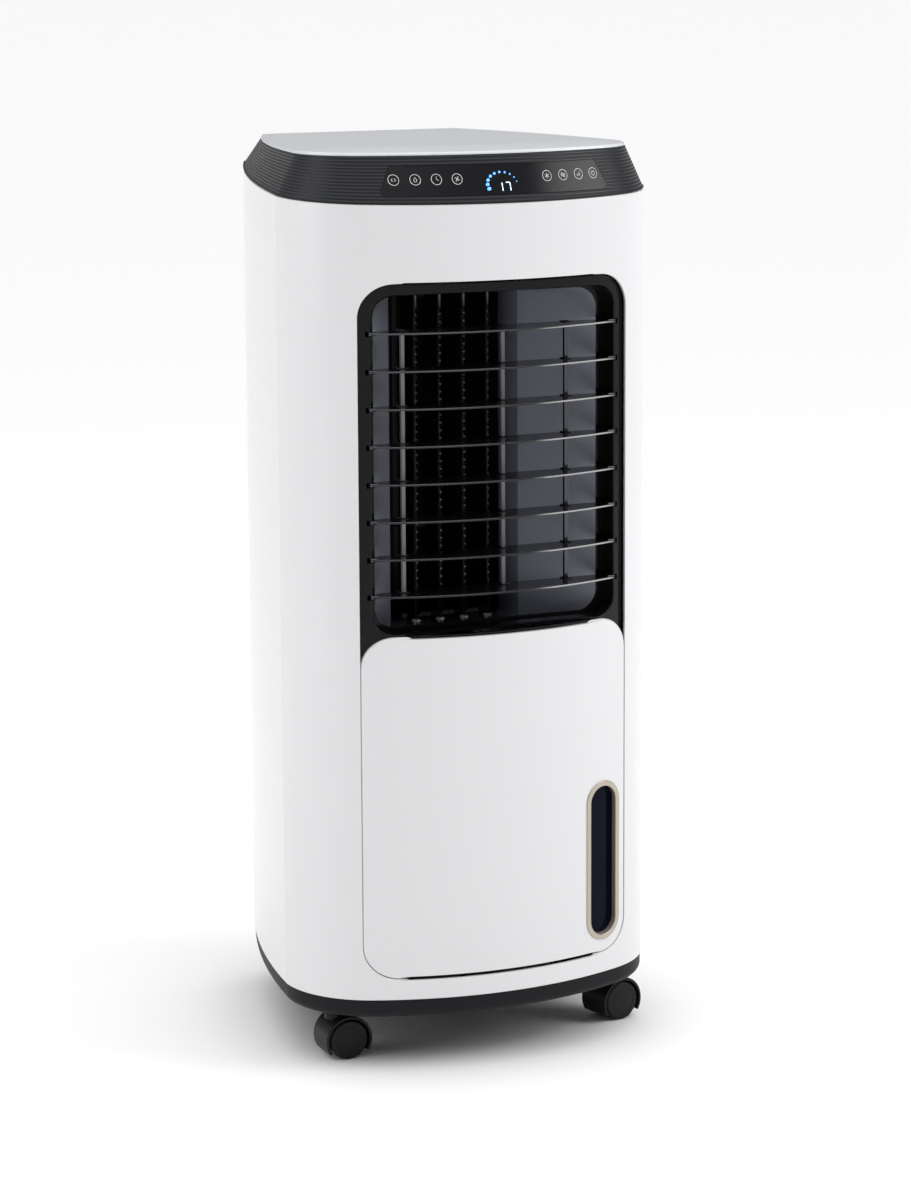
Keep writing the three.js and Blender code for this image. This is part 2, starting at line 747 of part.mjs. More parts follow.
function makeFanHousing() {
  const front = fromFront(THROAT_REAR) + GAP;
  const outerHalf = THROAT_HALF_WIDTH + DUCT_WALL;
  const plate = new THREE.Shape();
  plate.moveTo(-outerHalf, front);
  plate.lineTo(outerHalf, front);
  plate.lineTo(outerHalf + WALL, fanY);
  plate.absarc(0, fanY, outerHalf + WALL, 0, Math.PI);
  plate.closePath();
  // spiral rear guide, from the throat's right edge round behind the rotor
  const guide = new THREE.Shape();
  const steps = 16;
  const sweep = rad(GUIDE_SWEEP_DEG);
  const radiusAt = (t) => THREE.MathUtils.lerp(outerHalf - DUCT_WALL, FAN_RADIUS + FAN_CLEARANCE, t);
  const at = (t, grow) => [
    (radiusAt(t) + grow) * Math.cos(sweep * t),
    fanY + (radiusAt(t) + grow) * Math.sin(sweep * t),
  ];
  guide.moveTo(outerHalf - DUCT_WALL, front);
  for (let i = 0; i <= steps; i++) guide.lineTo(...at(i / steps, 0));
  for (let i = steps; i >= 0; i--) guide.lineTo(...at(i / steps, DUCT_WALL));
  guide.lineTo(outerHalf, front);
  guide.closePath();
  const tongue = new THREE.Shape();
  tongue.moveTo(-outerHalf, front);
  tongue.lineTo(-outerHalf + DUCT_WALL, front);
  tongue.lineTo(-FAN_RADIUS - FAN_CLEARANCE, fanY - FAN_RADIUS / 3);
  tongue.lineTo(-FAN_RADIUS - FAN_CLEARANCE - DUCT_WALL, fanY - FAN_RADIUS / 3);
  tongue.closePath();
  const shaftHole = post(
    0,
    fanY,
    SHAFT_RADIUS + PLAY,
    HOUSING_BOTTOM - 2 * WALL,
    HOUSING_TOP + 2 * WALL,
  );
  const housing = prism(plate, HOUSING_BOTTOM - DUCT_WALL, HOUSING_BOTTOM)
    .add(prism(plate, HOUSING_TOP, HOUSING_TOP + DUCT_WALL))
    .add(prism(guide, HOUSING_BOTTOM - GAP, HOUSING_TOP + GAP))
    .add(prism(tongue, HOUSING_BOTTOM - GAP, HOUSING_TOP + GAP))
    .subtract(shaftHole);
  place("fan_housing", housing, BLACK);
}

const motorTop = HOUSING_BOTTOM - DUCT_WALL - GAP;

function makeFanRotor() {
  const bottom = HOUSING_BOTTOM + FAN_END_GAP;
  const top = HOUSING_TOP - FAN_END_GAP;
  let rotor = post(0, fanY, FAN_RADIUS, bottom, bottom + DUCT_WALL, 30)
    .add(post(0, fanY, FAN_RADIUS, top - DUCT_WALL, top, 30))
    .add(post(0, fanY, SHAFT_RADIUS, motorTop - MOTOR_HEIGHT / 2, HOUSING_TOP + DUCT_WALL, 16));
  const chord = FAN_BLADE_CHORD;
  const blade = new THREE.Shape();
  blade.moveTo(FAN_RADIUS - chord, 0);
  blade.quadraticCurveTo(FAN_RADIUS - chord / 2, -chord / 4, FAN_RADIUS - 2 * GAP, -chord / 1.6);
  blade.lineTo(FAN_RADIUS - 4 * GAP, -chord / 1.3);
  blade.quadraticCurveTo(FAN_RADIUS - chord / 2, -chord / 2, FAN_RADIUS - chord, -4 * GAP);
  blade.closePath();
  for (let i = 0; i < FAN_BLADES; i++) {
    const geometry = new THREE.ExtrudeGeometry(blade, {
      depth: top - bottom - DUCT_WALL,
      bevelEnabled: false,
      curveSegments: 1,
    })
      .rotateZ((i / FAN_BLADES) * 2 * Math.PI)
      .translate(0, fanY, bottom + DUCT_WALL / 2);
    rotor = rotor.add(solid(geometry));
  }
  place("fan_rotor", rotor, SATIN_BLACK);
}

function makeFanMotor() {
  const bottom = motorTop - MOTOR_HEIGHT;
  const profile = [
    [0, bottom],
    [MOTOR_NOSE, bottom],
    [MOTOR_SHOULDER, bottom + WALL],
    [MOTOR_RADIUS, bottom + 2 * WALL],
    [MOTOR_RADIUS, motorTop - 2 * WALL],
    [MOTOR_SHOULDER, motorTop - WALL],
    [MOTOR_NOSE, motorTop],
    [SHAFT_RADIUS + PLAY, motorTop],
    [SHAFT_RADIUS + PLAY, motorTop - MOTOR_HEIGHT / 2 - WALL],
    [0, motorTop - MOTOR_HEIGHT / 2 - WALL],
  ].map(([r, z]) => new THREE.Vector2(r, z));
  const body = new THREE.LatheGeometry(profile, 20).rotateX(Math.PI / 2).translate(0, fanY, 0);
  const legs = [-1, 1].map((side) =>
    box(
      side * MOTOR_LEG_X - WALL,
      side * MOTOR_LEG_X + WALL,
      fanY - 2 * WALL,
      fanY + 2 * WALL,
      SHELF_Z + SHELF_THICKNESS + GAP,
      bottom + 3 * WALL,
    ),
  );
  place("fan_motor", solid(body).add(legs[0]).add(legs[1]), STEEL);
}

function makeShelf() {
  const inset = PANEL_THICKNESS + 2 * WALL;
  let shelf = loft([
    { inset, z: SHELF_Z },
    { inset, z: SHELF_Z + SHELF_THICKNESS },
  ]);
  shelf = shelf.subtract(
    box(
      -PAD_HALF_WIDTH + 4 * WALL,
      PAD_HALF_WIDTH - 4 * WALL,
      fromFront(PAD_FRONT) + 2 * WALL,
      fromFront(PAD_FRONT + PAD_THICKNESS) - 2 * WALL,
      SHELF_Z - WALL,
      SHELF_Z + SHELF_THICKNESS + WALL,
    ),
  );
  place("tank_bay_shelf", shelf, WHITE);
}

// ---------------------------------------------------------------- wet parts and rear
const padBottom = SHELF_Z + SHELF_THICKNESS + GAP;

function makePad() {
  const y0 = fromFront(PAD_FRONT);
  const y1 = fromFront(PAD_FRONT + PAD_THICKNESS);
  place("cooling_pad", box(-PAD_HALF_WIDTH, PAD_HALF_WIDTH, y0, y1, padBottom, PAD_TOP), PAD_BROWN);
  const trough = box(
    -PAD_HALF_WIDTH,
    PAD_HALF_WIDTH,
    y0,
    y1,
    PAD_TOP + GAP,
    PAD_TOP + 8 * WALL,
  ).subtract(
    box(
      -PAD_HALF_WIDTH + WALL,
      PAD_HALF_WIDTH - WALL,
      y0 + WALL,
      y1 - WALL,
      PAD_TOP + WALL,
      PAD_TOP + 12 * WALL,
    ),
  );
  place("water_trough", trough, WHITE);
}

const grilleBack = DEPTH / 2;
const grilleHinge = { y: grilleBack - GRILLE_THICKNESS / 2, z: GRILLE_BOTTOM };

function makeRearGrille() {
  const front = grilleBack - GRILLE_THICKNESS;
  let grille = frontPrism(
    roundedRect(-GRILLE_HALF_WIDTH, GRILLE_HALF_WIDTH, GRILLE_BOTTOM, GRILLE_TOP, GRILLE_CORNER),
    front,
    grilleBack,
  );
  const openBottom = GRILLE_BOTTOM + GRILLE_FRAME;
  const openTop = GRILLE_TOP - GRILLE_FRAME;
  const pitch = (openTop - openBottom) / GRILLE_SLATS;
  const open = (pitch * GRILLE_OPEN_SHARE) / 2;
  for (let i = 0; i < GRILLE_SLATS; i++) {
    const z = openBottom + (i + 0.5) * pitch;
    for (const side of [-1, 1]) {
      const middle = (side * GRILLE_HALF_WIDTH) / 2;
      const half = (GRILLE_HALF_WIDTH - GRILLE_FRAME - WALL) / 2;
      grille = grille.subtract(
        box(
          middle - half,
          middle + half,
          front - WALL,
          grilleBack + WALL,
          z - open,
          z + open,
        ),
      );
    }
  }
  place("rear_grille", grille, WHITE);
  place(
    "dust_filter",
    box(
      -GRILLE_HALF_WIDTH + 2 * WALL,
      GRILLE_HALF_WIDTH - 2 * WALL,
      front - GAP - FILTER_THICKNESS,
      front - GAP,
      grilleHinge.z + 2 * WALL,
      GRILLE_TOP - 2 * WALL,
    ),
    GREY,
  );
}

const tankFloor = BASE_BOTTOM + BASE_FLOOR + GAP;
const tankRear = Y_WALL;

function makeTank() {
  const outer = box(
    -TANK_HALF_WIDTH,
    TANK_HALF_WIDTH,
    fromFront(TANK_FRONT),
    tankRear,
    tankFloor,
    TANK_TOP,
  );
  const innerRear = tankRear - TANK_GRIP.depth - TANK_WALL;
  const inner = box(
    -TANK_HALF_WIDTH + TANK_WALL,
    TANK_HALF_WIDTH - TANK_WALL,
    fromFront(TANK_FRONT) + TANK_WALL,
    innerRear,
    tankFloor + TANK_WALL,
    TANK_TOP + WALL,
  );
  const { halfWidth, bottom, top, radius, depth } = TANK_GRIP;
  const grip = frontPrism(
    roundedRect(-halfWidth, halfWidth, bottom, top, radius),
    tankRear - depth,
    tankRear + WALL,
  );
  place("water_tank", outer.subtract(inner).subtract(grip), CLEAR_BLUE);

  const pumpY = innerRear - PUMP.radius - 4 * WALL;
  const pumpFloor = tankFloor + TANK_WALL + GAP;
  const pump = post(PUMP.x, pumpY, PUMP.radius, pumpFloor, pumpFloor + PUMP.height).add(
    post(PUMP.x, pumpY, PUMP.spout, pumpFloor, pumpFloor + PUMP.height + 6 * WALL, 16),
  );
  place("water_pump", pump, SATIN_BLACK);
}

// stands above the tank; a half turn brings it down across the tank's top edge
function makeLatch() {
  const outer = DEPTH / 2 - GAP;
  const shape = new THREE.Shape();
  shape.absarc(0, LATCH.z, LATCH.radius, Math.PI, 2 * Math.PI);
  shape.absarc(0, LATCH.z + LATCH.length - LATCH.radius, LATCH.radius, 0, Math.PI);
  shape.closePath();
  const bar = frontPrism(shape, outer - LATCH.thickness, outer);
  const stem = yCylinder(0, LATCH.z, STEM_RADIUS / 2, Y_WALL - WALL - 2 * GAP, outer - GAP, 12);
  place("tank_latch", bar.add(stem), WHITE);
}

function makeGland() {
  const gland = yCylinder(GLAND.x, GLAND.z, GLAND.radius, Y_WALL - 3 * WALL, Y_WALL + WALL).subtract(
    yCylinder(GLAND.x, GLAND.z, GLAND.radius / 2, Y_WALL - OVERCUT, Y_WALL + 2 * WALL),
  );
  place("cord_gland", gland, SATIN_BLACK);
}

// ---------------------------------------------------------------- lower front panel
function makeLowerPanel() {
  const edge = BAY_HALF_WIDTH - PLAY;
  const panel = bowedPlate(0, PANEL_THICKNESS, BAY_BOTTOM, PANEL_TOP)
    .intersect(
      throughFront(roundedRect(-edge, edge, BAY_BOTTOM + PLAY, PANEL_TOP, BAY_RADIUS - PLAY)),
    )
    .subtract(
      throughFront(
        slot(WINDOW_X, WINDOW_SLEEVE + GAP, ...windowSpan(WINDOW_SLEEVE + GAP)),
      ),
    );
  place("lower_front_panel", panel, WHITE);

  const rim = bowedPlate(-BAY_DEPTH / 4, -GAP, BAY_BOTTOM, PANEL_TOP).intersect(
    throughFront(slot(WINDOW_X, WINDOW_RIM, WINDOW_BOTTOM, WINDOW_TOP)),
  );
  const sleeve = bowedPlate(-2 * GAP, WINDOW_RECESS + WALL, BAY_BOTTOM, PANEL_TOP).intersect(
    throughFront(slot(WINDOW_X, WINDOW_SLEEVE, ...windowSpan(WINDOW_SLEEVE))),
  );
  const clear = throughFront(slot(WINDOW_X, WINDOW_CLEAR, ...windowSpan(WINDOW_CLEAR)));
  place("window_bezel", rim.add(sleeve).subtract(clear), GOLD);

  const lensHalf = WINDOW_CLEAR - GAP;
  const lens = bowedPlate(
    WINDOW_RECESS,
    WINDOW_RECESS + WALL / 2,
    BAY_BOTTOM,
    PANEL_TOP,
  ).intersect(throughFront(slot(WINDOW_X, lensHalf, ...windowSpan(lensHalf))));
  place("window_lens", lens, NAVY);
}

// the slot's ends for a half-width, concentric with the rim's
const windowSpan = (halfWidth) => [
  WINDOW_BOTTOM + WINDOW_RIM - halfWidth,
  WINDOW_TOP - WINDOW_RIM + halfWidth,
];

// ---------------------------------------------------------------- top
function bandSolid(inset, extend = 0) {
  const rise = BAND_TOP_Z - BAND_FRONT_Z;
  const lean = (BAND_INSET * extend) / rise;
  return loft([
    { inset: inset - lean, z: (y) => bandFoot(y) - extend },
    { inset: inset + BAND_INSET + lean, z: BAND_TOP_Z + extend },
  ]);
}

function controlShape(grow) {
  const shape = new THREE.Shape();
  const r = CONTROL_CORNER;
  const bottom = CONTROL_BOTTOM - grow;
  const top = CONTROL_TOP + grow;
  const low = CONTROL_HALF_BOTTOM + grow;
  const high = CONTROL_HALF_TOP + grow;
  shape.moveTo(-low + r, bottom);
  shape.lineTo(low - r, bottom);
  shape.quadraticCurveTo(low, bottom, low - r / 3, bottom + r);
  shape.lineTo(high + r / 3, top - r);
  shape.quadraticCurveTo(high, top, high - r, top);
  shape.lineTo(-high + r, top);
  shape.quadraticCurveTo(-high, top, -high - r / 3, top - r);
  shape.lineTo(-low + r / 3, bottom + r);
  shape.quadraticCurveTo(-low, bottom, -low + r, bottom);
  return shape;
}

function makeTop() {
  const throughBand = (grow) => frontPrism(controlShape(grow), Y_FRONT - WALL, fromFront(WELL_DEPTH), 3);
  const pocket = bandSolid(-WALL)
    .subtract(bandSolid(CONTROL_THICKNESS + GAP))
    .intersect(throughBand(GAP));
  const band = bandSolid(0).subtract(bandSolid(2 * WALL, 2 * WALL)).subtract(pocket);
  place("top_band", band, CHARCOAL);
  const panel = bandSolid(0).subtract(bandSolid(CONTROL_THICKNESS)).intersect(throughBand(0));
  place("control_panel", panel, PANEL_BLACK);

  const seat = BAND_TOP_Z + GAP;
  const spigot = BAND_INSET + 2 * WALL + PLAY;
  const edge = BAND_INSET + GAP;
  const roundedEdge = Array.from({ length: EDGE_STEPS + 1 }, (_, i) => {
    const turn = (i / EDGE_STEPS) * (Math.PI / 2);
    return {
      inset: edge + LID_EDGE * (1 - Math.cos(turn)),
      z: seat + LID_EDGE * Math.sin(turn),
    };
  });
  const lid = loft([
    { inset: spigot, z: seat - LID_SPIGOT },
    { inset: spigot, z: seat },
    ...roundedEdge,
    { inset: edge + LID_SHOULDER.inset, z: seat + LID_EDGE + LID_SHOULDER.rise },
    { inset: edge + LID_FLAT_INSET, z: seat + LID_EDGE + LID_CROWN },
  ]);
  place("top_lid", lid, WHITE);

  const boardY = fromFront(BAND_INSET + CONTROL_THICKNESS + 6 * WALL);
  const boardHalf = CONTROL_HALF_TOP - 6 * WALL;
  place(
    "control_board",
    box(-boardHalf, boardHalf, boardY, boardY + WALL / 2, CONTROL_BOTTOM, CONTROL_TOP),
    GREEN,
  );
  place(
    "ioniser_module",
    box(
      THROAT_HALF_WIDTH / 4,
      THROAT_HALF_WIDTH,
      fromFront(THROAT_FRONT) + WALL,
      fromFront(THROAT_REAR) - WALL,
      THROAT_TOP + DUCT_WALL + GAP,
      THROAT_TOP + 6 * WALL,
    ),
    GREY,
  );
}

// ---------------------------------------------------------------- casters
function casterPlaces() {
  const front = fromFront(CASTER_FRONT);
  const rear = fromFront(CASTER_REAR);
  return [
    { key: "fl", x: -CASTER_X, y: front },
    { key: "fr", x: CASTER_X, y: front },
    { key: "rl", x: -CASTER_REAR_X, y: rear },
    { key: "rr", x: CASTER_REAR_X, y: rear },
  ];
}

// Drawn with the axle along Y through the group's origin, which sits at the axle's height.
function hoodSolid() {
  const end = rad(HOOD_END_DEG);
  const hood = new THREE.Shape();
  hood.absarc(0, 0, HOOD_RADIUS, end, Math.PI - end);
  hood.absarc(0, 0, HOOD_RADIUS - HOOD_WALL, Math.PI - end, end, true);
  hood.closePath();
  const web = new THREE.Shape();
  web.absarc(0, 0, HOOD_RADIUS - GAP, end, Math.PI - end);
  web.closePath();
  const bore = new THREE.Path();
  bore.absarc(0, 0, AXLE_RADIUS + GAP, 0, 2 * Math.PI);
  web.holes.push(bore);
  const collarBottom = HOOD_RADIUS - HOOD_WALL;
  const collarTop = BASE_BOTTOM - WHEEL_RADIUS - PLAY;
  const stemTop = BASE_TOP + 2 * WALL - WHEEL_RADIUS;
  const halfWidth = CASTER_WIDTH / 2;
  const wheelRoom = yCylinder(0, 0, HOOD_RADIUS - HOOD_WALL, -halfWidth, halfWidth, 28);
  return frontPrism(hood, -halfWidth, halfWidth, 9)
    .add(frontPrism(web, -WEB_WIDTH / 2, WEB_WIDTH / 2, 9))
    .add(post(-CASTER_TRAIL, 0, 2 * STEM_RADIUS, collarBottom - WALL, collarTop).subtract(wheelRoom))
    .add(post(-CASTER_TRAIL, 0, STEM_RADIUS, collarTop - GAP, stemTop, 12));
}

function wheelGeometry(side) {
  const inner = WEB_WIDTH / 2 + PLAY;
  const outer = CASTER_WIDTH / 2 - PLAY;
  const bore = AXLE_RADIUS + GAP;
  const boreEnd = outer - 2 * WALL + PLAY;
  const profile = [
    [0, boreEnd],
    [bore, boreEnd],
    [bore, inner],
    [WHEEL_RADIUS, inner],
    [WHEEL_RADIUS, outer - WHEEL_DOME - WHEEL_CHAMFER],
    [WHEEL_RADIUS - WHEEL_CHAMFER, outer - WHEEL_DOME],
    [0, outer],
  ].map(([r, y]) => new THREE.Vector2(r, y));
  const geometry = new THREE.LatheGeometry(profile.reverse(), 24);
  return side > 0 ? geometry : geometry.rotateX(Math.PI);
}

function makeCasters() {
  for (const { key, x, y } of casterPlaces()) {
    const group = new THREE.Group();
    const turn = rad(CASTER_TURNS[key]);
    group.position.set(
      x + CASTER_TRAIL * Math.cos(turn),
      y + CASTER_TRAIL * Math.sin(turn),
      WHEEL_RADIUS,
    );
    group.rotation.z = turn;
    root.add(group);
    place(`caster_${key}_hood`, hoodSolid(), SATIN_BLACK, group);
    place(`caster_${key}_wheel_outer`, outward(wheelGeometry(-1)), SATIN_BLACK, group);
    place(`caster_${key}_wheel_inner`, outward(wheelGeometry(1)), SATIN_BLACK, group);
    const half = CASTER_WIDTH / 2 - 3 * WALL + PLAY;
    place(`caster_${key}_axle`, yCylinder(0, 0, AXLE_RADIUS, -half, half, 12), STEEL, group);
  }
}

// turns a closed surface right side out
function outward(geometry) {
  const body = solid(geometry);
  if (body.volume() > 0) return body;
  const flipped = geometry.clone();
  const order = flipped.index.array;
  for (let i = 0; i < order.length; i += 3) [order[i + 1], order[i + 2]] = [order[i + 2], order[i + 1]];
  return solid(flipped);
}

makeBaseTray();
makeShells();
makeOutletSurround();
makeAirDuct();
makeLouvres();
makeLouvreLinks();
makeVanes();
makeVaneLink();
makeSwingMotor();
makeFanHousing();
makeFanRotor();
makeFanMotor();
makeShelf();
makePad();
makeRearGrille();
makeTank();
makeLatch();
makeGland();
makeLowerPanel();
makeTop();
makeCasters();

export default root;
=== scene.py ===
# %% [markdown]
# # A portable evaporative air cooler
# The cooler is a tall white cabinet with a bowed front. A charcoal band with fine ribs carries the
# touch panel, eight bowed louvres close the outlet, and a door panel with a level window sits below.
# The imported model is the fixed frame: it says where every piece is and what moves. This lesson
# makes the fine surface of each piece around it, piece by piece, and then its finish.

# %% Load the fixed frame
import json
import math

import bmesh
import bpy
from mathutils import Matrix, Vector


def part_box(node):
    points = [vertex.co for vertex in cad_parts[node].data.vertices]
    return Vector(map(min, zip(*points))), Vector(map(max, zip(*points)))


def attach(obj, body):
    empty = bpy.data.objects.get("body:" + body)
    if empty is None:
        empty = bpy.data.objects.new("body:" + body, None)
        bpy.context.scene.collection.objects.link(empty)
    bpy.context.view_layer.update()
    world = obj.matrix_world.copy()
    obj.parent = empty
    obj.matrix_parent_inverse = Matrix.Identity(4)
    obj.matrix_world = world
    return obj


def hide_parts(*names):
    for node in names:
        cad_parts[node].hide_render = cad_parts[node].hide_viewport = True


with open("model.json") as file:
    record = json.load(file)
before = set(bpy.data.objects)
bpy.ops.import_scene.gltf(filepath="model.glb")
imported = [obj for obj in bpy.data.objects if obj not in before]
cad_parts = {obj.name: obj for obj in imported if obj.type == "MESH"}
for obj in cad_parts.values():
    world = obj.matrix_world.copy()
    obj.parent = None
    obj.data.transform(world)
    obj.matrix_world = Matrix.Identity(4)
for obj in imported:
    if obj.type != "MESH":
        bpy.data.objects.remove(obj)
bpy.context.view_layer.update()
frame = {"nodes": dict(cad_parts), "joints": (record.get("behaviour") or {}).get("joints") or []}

joints = {joint["name"]: joint for joint in frame["joints"]}

# %% [markdown]
# ## Camera
# A long lens far away keeps the cabinet's uprights nearly parallel. The camera looks slightly down
# on the lid from the left of the front. A small downward shift does the rest of the framing, so
# that the same lens still holds the whole object when it is seen from another side.

# %% Camera
CAMERA_PLACE = Vector((-1.370, -3.231, 1.124))
CAMERA_YAW = math.radians(23.44)
CAMERA_PITCH = math.radians(9.0)
CAMERA_ROLL = math.radians(-0.30)
CAMERA_LENS = 104.5
CAMERA_SHIFT = -0.1085


def aimed(yaw, pitch, roll):
    """The rotation of a camera that looks along +Y turned by yaw, then down by pitch."""
    ahead = Vector((
        math.sin(yaw) * math.cos(pitch),
        math.cos(yaw) * math.cos(pitch),
        -math.sin(pitch),
    ))
    right = Vector((math.cos(yaw), -math.sin(yaw), 0))
    up = right.cross(ahead)
    right_rolled = right * math.cos(roll) + up * math.sin(roll)
    up_rolled = up * math.cos(roll) - right * math.sin(roll)
    return Matrix((right_rolled, up_rolled, -ahead)).transposed().to_4x4()


camera_data = bpy.data.cameras.new("camera")
camera_data.lens = CAMERA_LENS
camera_data.shift_y = CAMERA_SHIFT
camera = bpy.data.objects.new("camera", camera_data)
camera.matrix_world = Matrix.Translation(CAMERA_PLACE) @ aimed(CAMERA_YAW, CAMERA_PITCH, CAMERA_ROLL)
bpy.context.scene.collection.objects.link(camera)
bpy.context.scene.camera = camera
print("camera at", tuple(round(v, 3) for v in camera.location))

# %% [markdown]
# ## Node helpers
# Materials and Geometry Nodes are both node trees. Two helpers keep their code readable: one makes
# a node with its settings and inputs in a single call, and one lets a socket be added, multiplied
# or compared as if it were a number, so that a rule is written as the formula it is.

# %% Helpers for node trees


def make(tree, kind, inputs=None, **settings):
    """Adds a node. An input is a plain value, a socket or a Field."""
    node = tree.nodes.new(kind)
    for key, value in settings.items():
        setattr(node, key, value)
    for key, value in (inputs or {}).items():
        if isinstance(value, Field):
            value = value.socket
        if isinstance(value, bpy.types.NodeSocket):
            tree.links.new(value, node.inputs[key])
        else:
            node.inputs[key].default_value = value
    return node


class Field:
    """A number that varies over the surface, held by a socket."""

    def __init__(self, tree, socket):
        self.tree = tree
        self.socket = socket

    def op(self, operation, *others):
        inputs = {i: value for i, value in enumerate([self, *others])}
        node = make(self.tree, "ShaderNodeMath", inputs, operation=operation)
        return Field(self.tree, node.outputs[0])

    def __add__(self, other):
        return self.op("ADD", other)

    def __sub__(self, other):
        return self.op("SUBTRACT", other)

    def __mul__(self, other):
        return self.op("MULTIPLY", other)

    def __truediv__(self, other):
        return self.op("DIVIDE", other)

    def above(self, other):
        return self.op("GREATER_THAN", other)


def split(tree, vector):
    """The three parts of a vector socket as Fields."""
    node = make(tree, "ShaderNodeSeparateXYZ", {0: vector})
    return [Field(tree, out) for out in node.outputs]


def vector_of(tree, x, y, z):
    return make(tree, "ShaderNodeCombineXYZ", {0: x, 1: y, 2: z}).outputs[0]


# %% [markdown]
# ## Moulded plastic
# Nearly every visible piece is injection-moulded. Up close such a skin isn't a flat colour: the gloss
# drifts a little across it, a faint waviness bends the reflections, satin parts carry an eroded grain, and
# the tone drifts a touch paler in patches. One function makes them all from a few numbers. Numbers that
# don't vary are set on the shader itself.

# %% Moulded plastic materials


def object_position(tree):
    return make(tree, "ShaderNodeTexCoord").outputs["Object"]


def noise(tree, scale, detail=2.0, stretch=(1, 1, 1)):
    """A noise Field over object space, about 0.5 on average."""
    place = object_position(tree)
    if stretch != (1, 1, 1):
        place = make(tree, "ShaderNodeMapping", {"Vector": place, "Scale": stretch}).outputs[0]
    node = make(tree, "ShaderNodeTexNoise", {"Vector": place, "Scale": scale, "Detail": detail})
    return Field(tree, node.outputs[0])


def start_material(name):
    material = bpy.data.materials.new(name)
    material.use_nodes = True
    tree = material.node_tree
    return material, tree, tree.nodes["Principled BSDF"]


def tinted(tree, amount, color, other):
    """A colour that runs from one to another as the Field goes from 0 to 1."""
    node = make(tree, "ShaderNodeMix", {"Factor": amount}, data_type="RGBA")
    node.inputs["A"].default_value = (*color, 1)
    node.inputs["B"].default_value = (*other, 1)
    return node.outputs["Result"]


def bumped(tree, height, strength, distance):
    inputs = {"Height": height, "Strength": strength, "Distance": distance}
    return make(tree, "ShaderNodeBump", inputs).outputs[0]


def moulded(name, color, gloss, drift=0.05, wave=0.0, grain=0.0, coat=0.0, paler=0.06, ior=1.48):
    """gloss is the roughness, drift how far it wanders, wave and grain the bumps in metres."""
    material, tree, shader = start_material(name)
    cloud = noise(tree, 9.0, 3.0)
    fine = noise(tree, 160.0, 2.0)
    mottled = cloud * 0.7 + fine * 0.3
    lighter = tuple(min(1.0, c + (1 - c) * paler) for c in color)
    tree.links.new(tinted(tree, mottled, color, lighter), shader.inputs["Base Color"])
    rough = (mottled - 0.5) * (2 * drift) + gloss
    tree.links.new(rough.socket, shader.inputs["Roughness"])
    height = noise(tree, 28.0, 1.0) * wave + noise(tree, 1500.0, 2.0) * grain
    tree.links.new(bumped(tree, height, 1.0, 1.0), shader.inputs["Normal"])
    shader.inputs["Coat Weight"].default_value = coat
    shader.inputs["Coat Roughness"].default_value = 0.06
    shader.inputs["IOR"].default_value = ior
    return material


WHITE = moulded("white_gloss", (0.73, 0.733, 0.745), 0.20, drift=0.03, wave=2e-5, grain=1e-6, coat=0.25)
# The lid's finish is the shell's white painted a little darker and bluer: painted shade on the lid's top.
LID_SHADED_WHITE = moulded("lid_white", (0.68, 0.70, 0.735), 0.26, drift=0.03, wave=2e-5, grain=2e-6, coat=0.2)
CHARCOAL = moulded("charcoal_satin", (0.008, 0.009, 0.012), 0.32, 0.05, grain=1.2e-5, paler=0.006, ior=1.36)
BLACK_GLOSS = moulded("black_gloss", (0.003, 0.003, 0.004), 0.12, 0.04, 1.5e-5, 1e-6, paler=0.003, ior=1.26)
# The duct's light blue-grey is painted light: it stands for the light on the walls of a black gloss duct.
DUCT_PAINTED_LIGHT = moulded("duct_gloss", (0.40, 0.42, 0.49), 0.20, 0.05, 1.5e-5, 2e-6, paler=0.02, ior=1.5)
HOUSING_BLACK = moulded("housing_black", (0.016, 0.016, 0.018), 0.34, 0.05, grain=6e-6, paler=0.01)
BLACK_BLADE = moulded("black_blade", (0.004, 0.004, 0.005), 0.13, 0.04, 1e-5, 3e-6, paler=0.004, ior=1.75)
BLACK_SATIN = moulded("black_satin", (0.006, 0.006, 0.008), 0.38, 0.06, grain=1.5e-5, paler=0.005, ior=1.28)
BASE_SATIN = moulded("base_satin", (0.006, 0.006, 0.008), 0.50, 0.05, grain=1.5e-5, paler=0.005, ior=1.25)
TOUCH = moulded("touch_panel", (0.006, 0.0065, 0.008), 0.18, drift=0.04, wave=1e-5, paler=0.004, ior=1.28)
INK = moulded("icon_ink", (0.93, 0.94, 0.95), 0.50, grain=2e-6)
CHAMPAGNE = moulded("champagne_paint", (0.42, 0.37, 0.30), 0.22, drift=0.05, grain=2e-6, coat=0.4)
GREY = moulded("grey_plastic", (0.23, 0.235, 0.26), 0.34, drift=0.05, grain=6e-6)
CAP_ZINC = moulded("zinc_cap", (0.80, 0.81, 0.83), 0.25, drift=0.04, grain=2e-6, coat=0.3)
TANK = moulded("tank_polypropylene", (0.60, 0.67, 0.72), 0.30, drift=0.05, wave=5e-5, grain=4e-6)
NAVY = moulded("navy_lens", (0.001, 0.002, 0.010), 0.05, drift=0.02, wave=8e-6, paler=0.002, ior=1.13)
TANK.node_tree.nodes["Principled BSDF"].inputs["Transmission Weight"].default_value = 0.35
CHAMPAGNE.node_tree.nodes["Principled BSDF"].inputs["Metallic"].default_value = 0.35
CAP_ZINC.node_tree.nodes["Principled BSDF"].inputs["Metallic"].default_value = 0.3
print("moulded finishes:", len(bpy.data.materials))

# %% [markdown]
# ## Metal, fibre, mesh and light
# The axles and motor cans are bright steel with fine turning marks, the cooling pad is brown
# cellulose with darker wet patches, and the indicator dots are small blue lamps. Each needs a tree
# of its own, because its detail isn't the drift of a moulded skin.

# %% Other materials


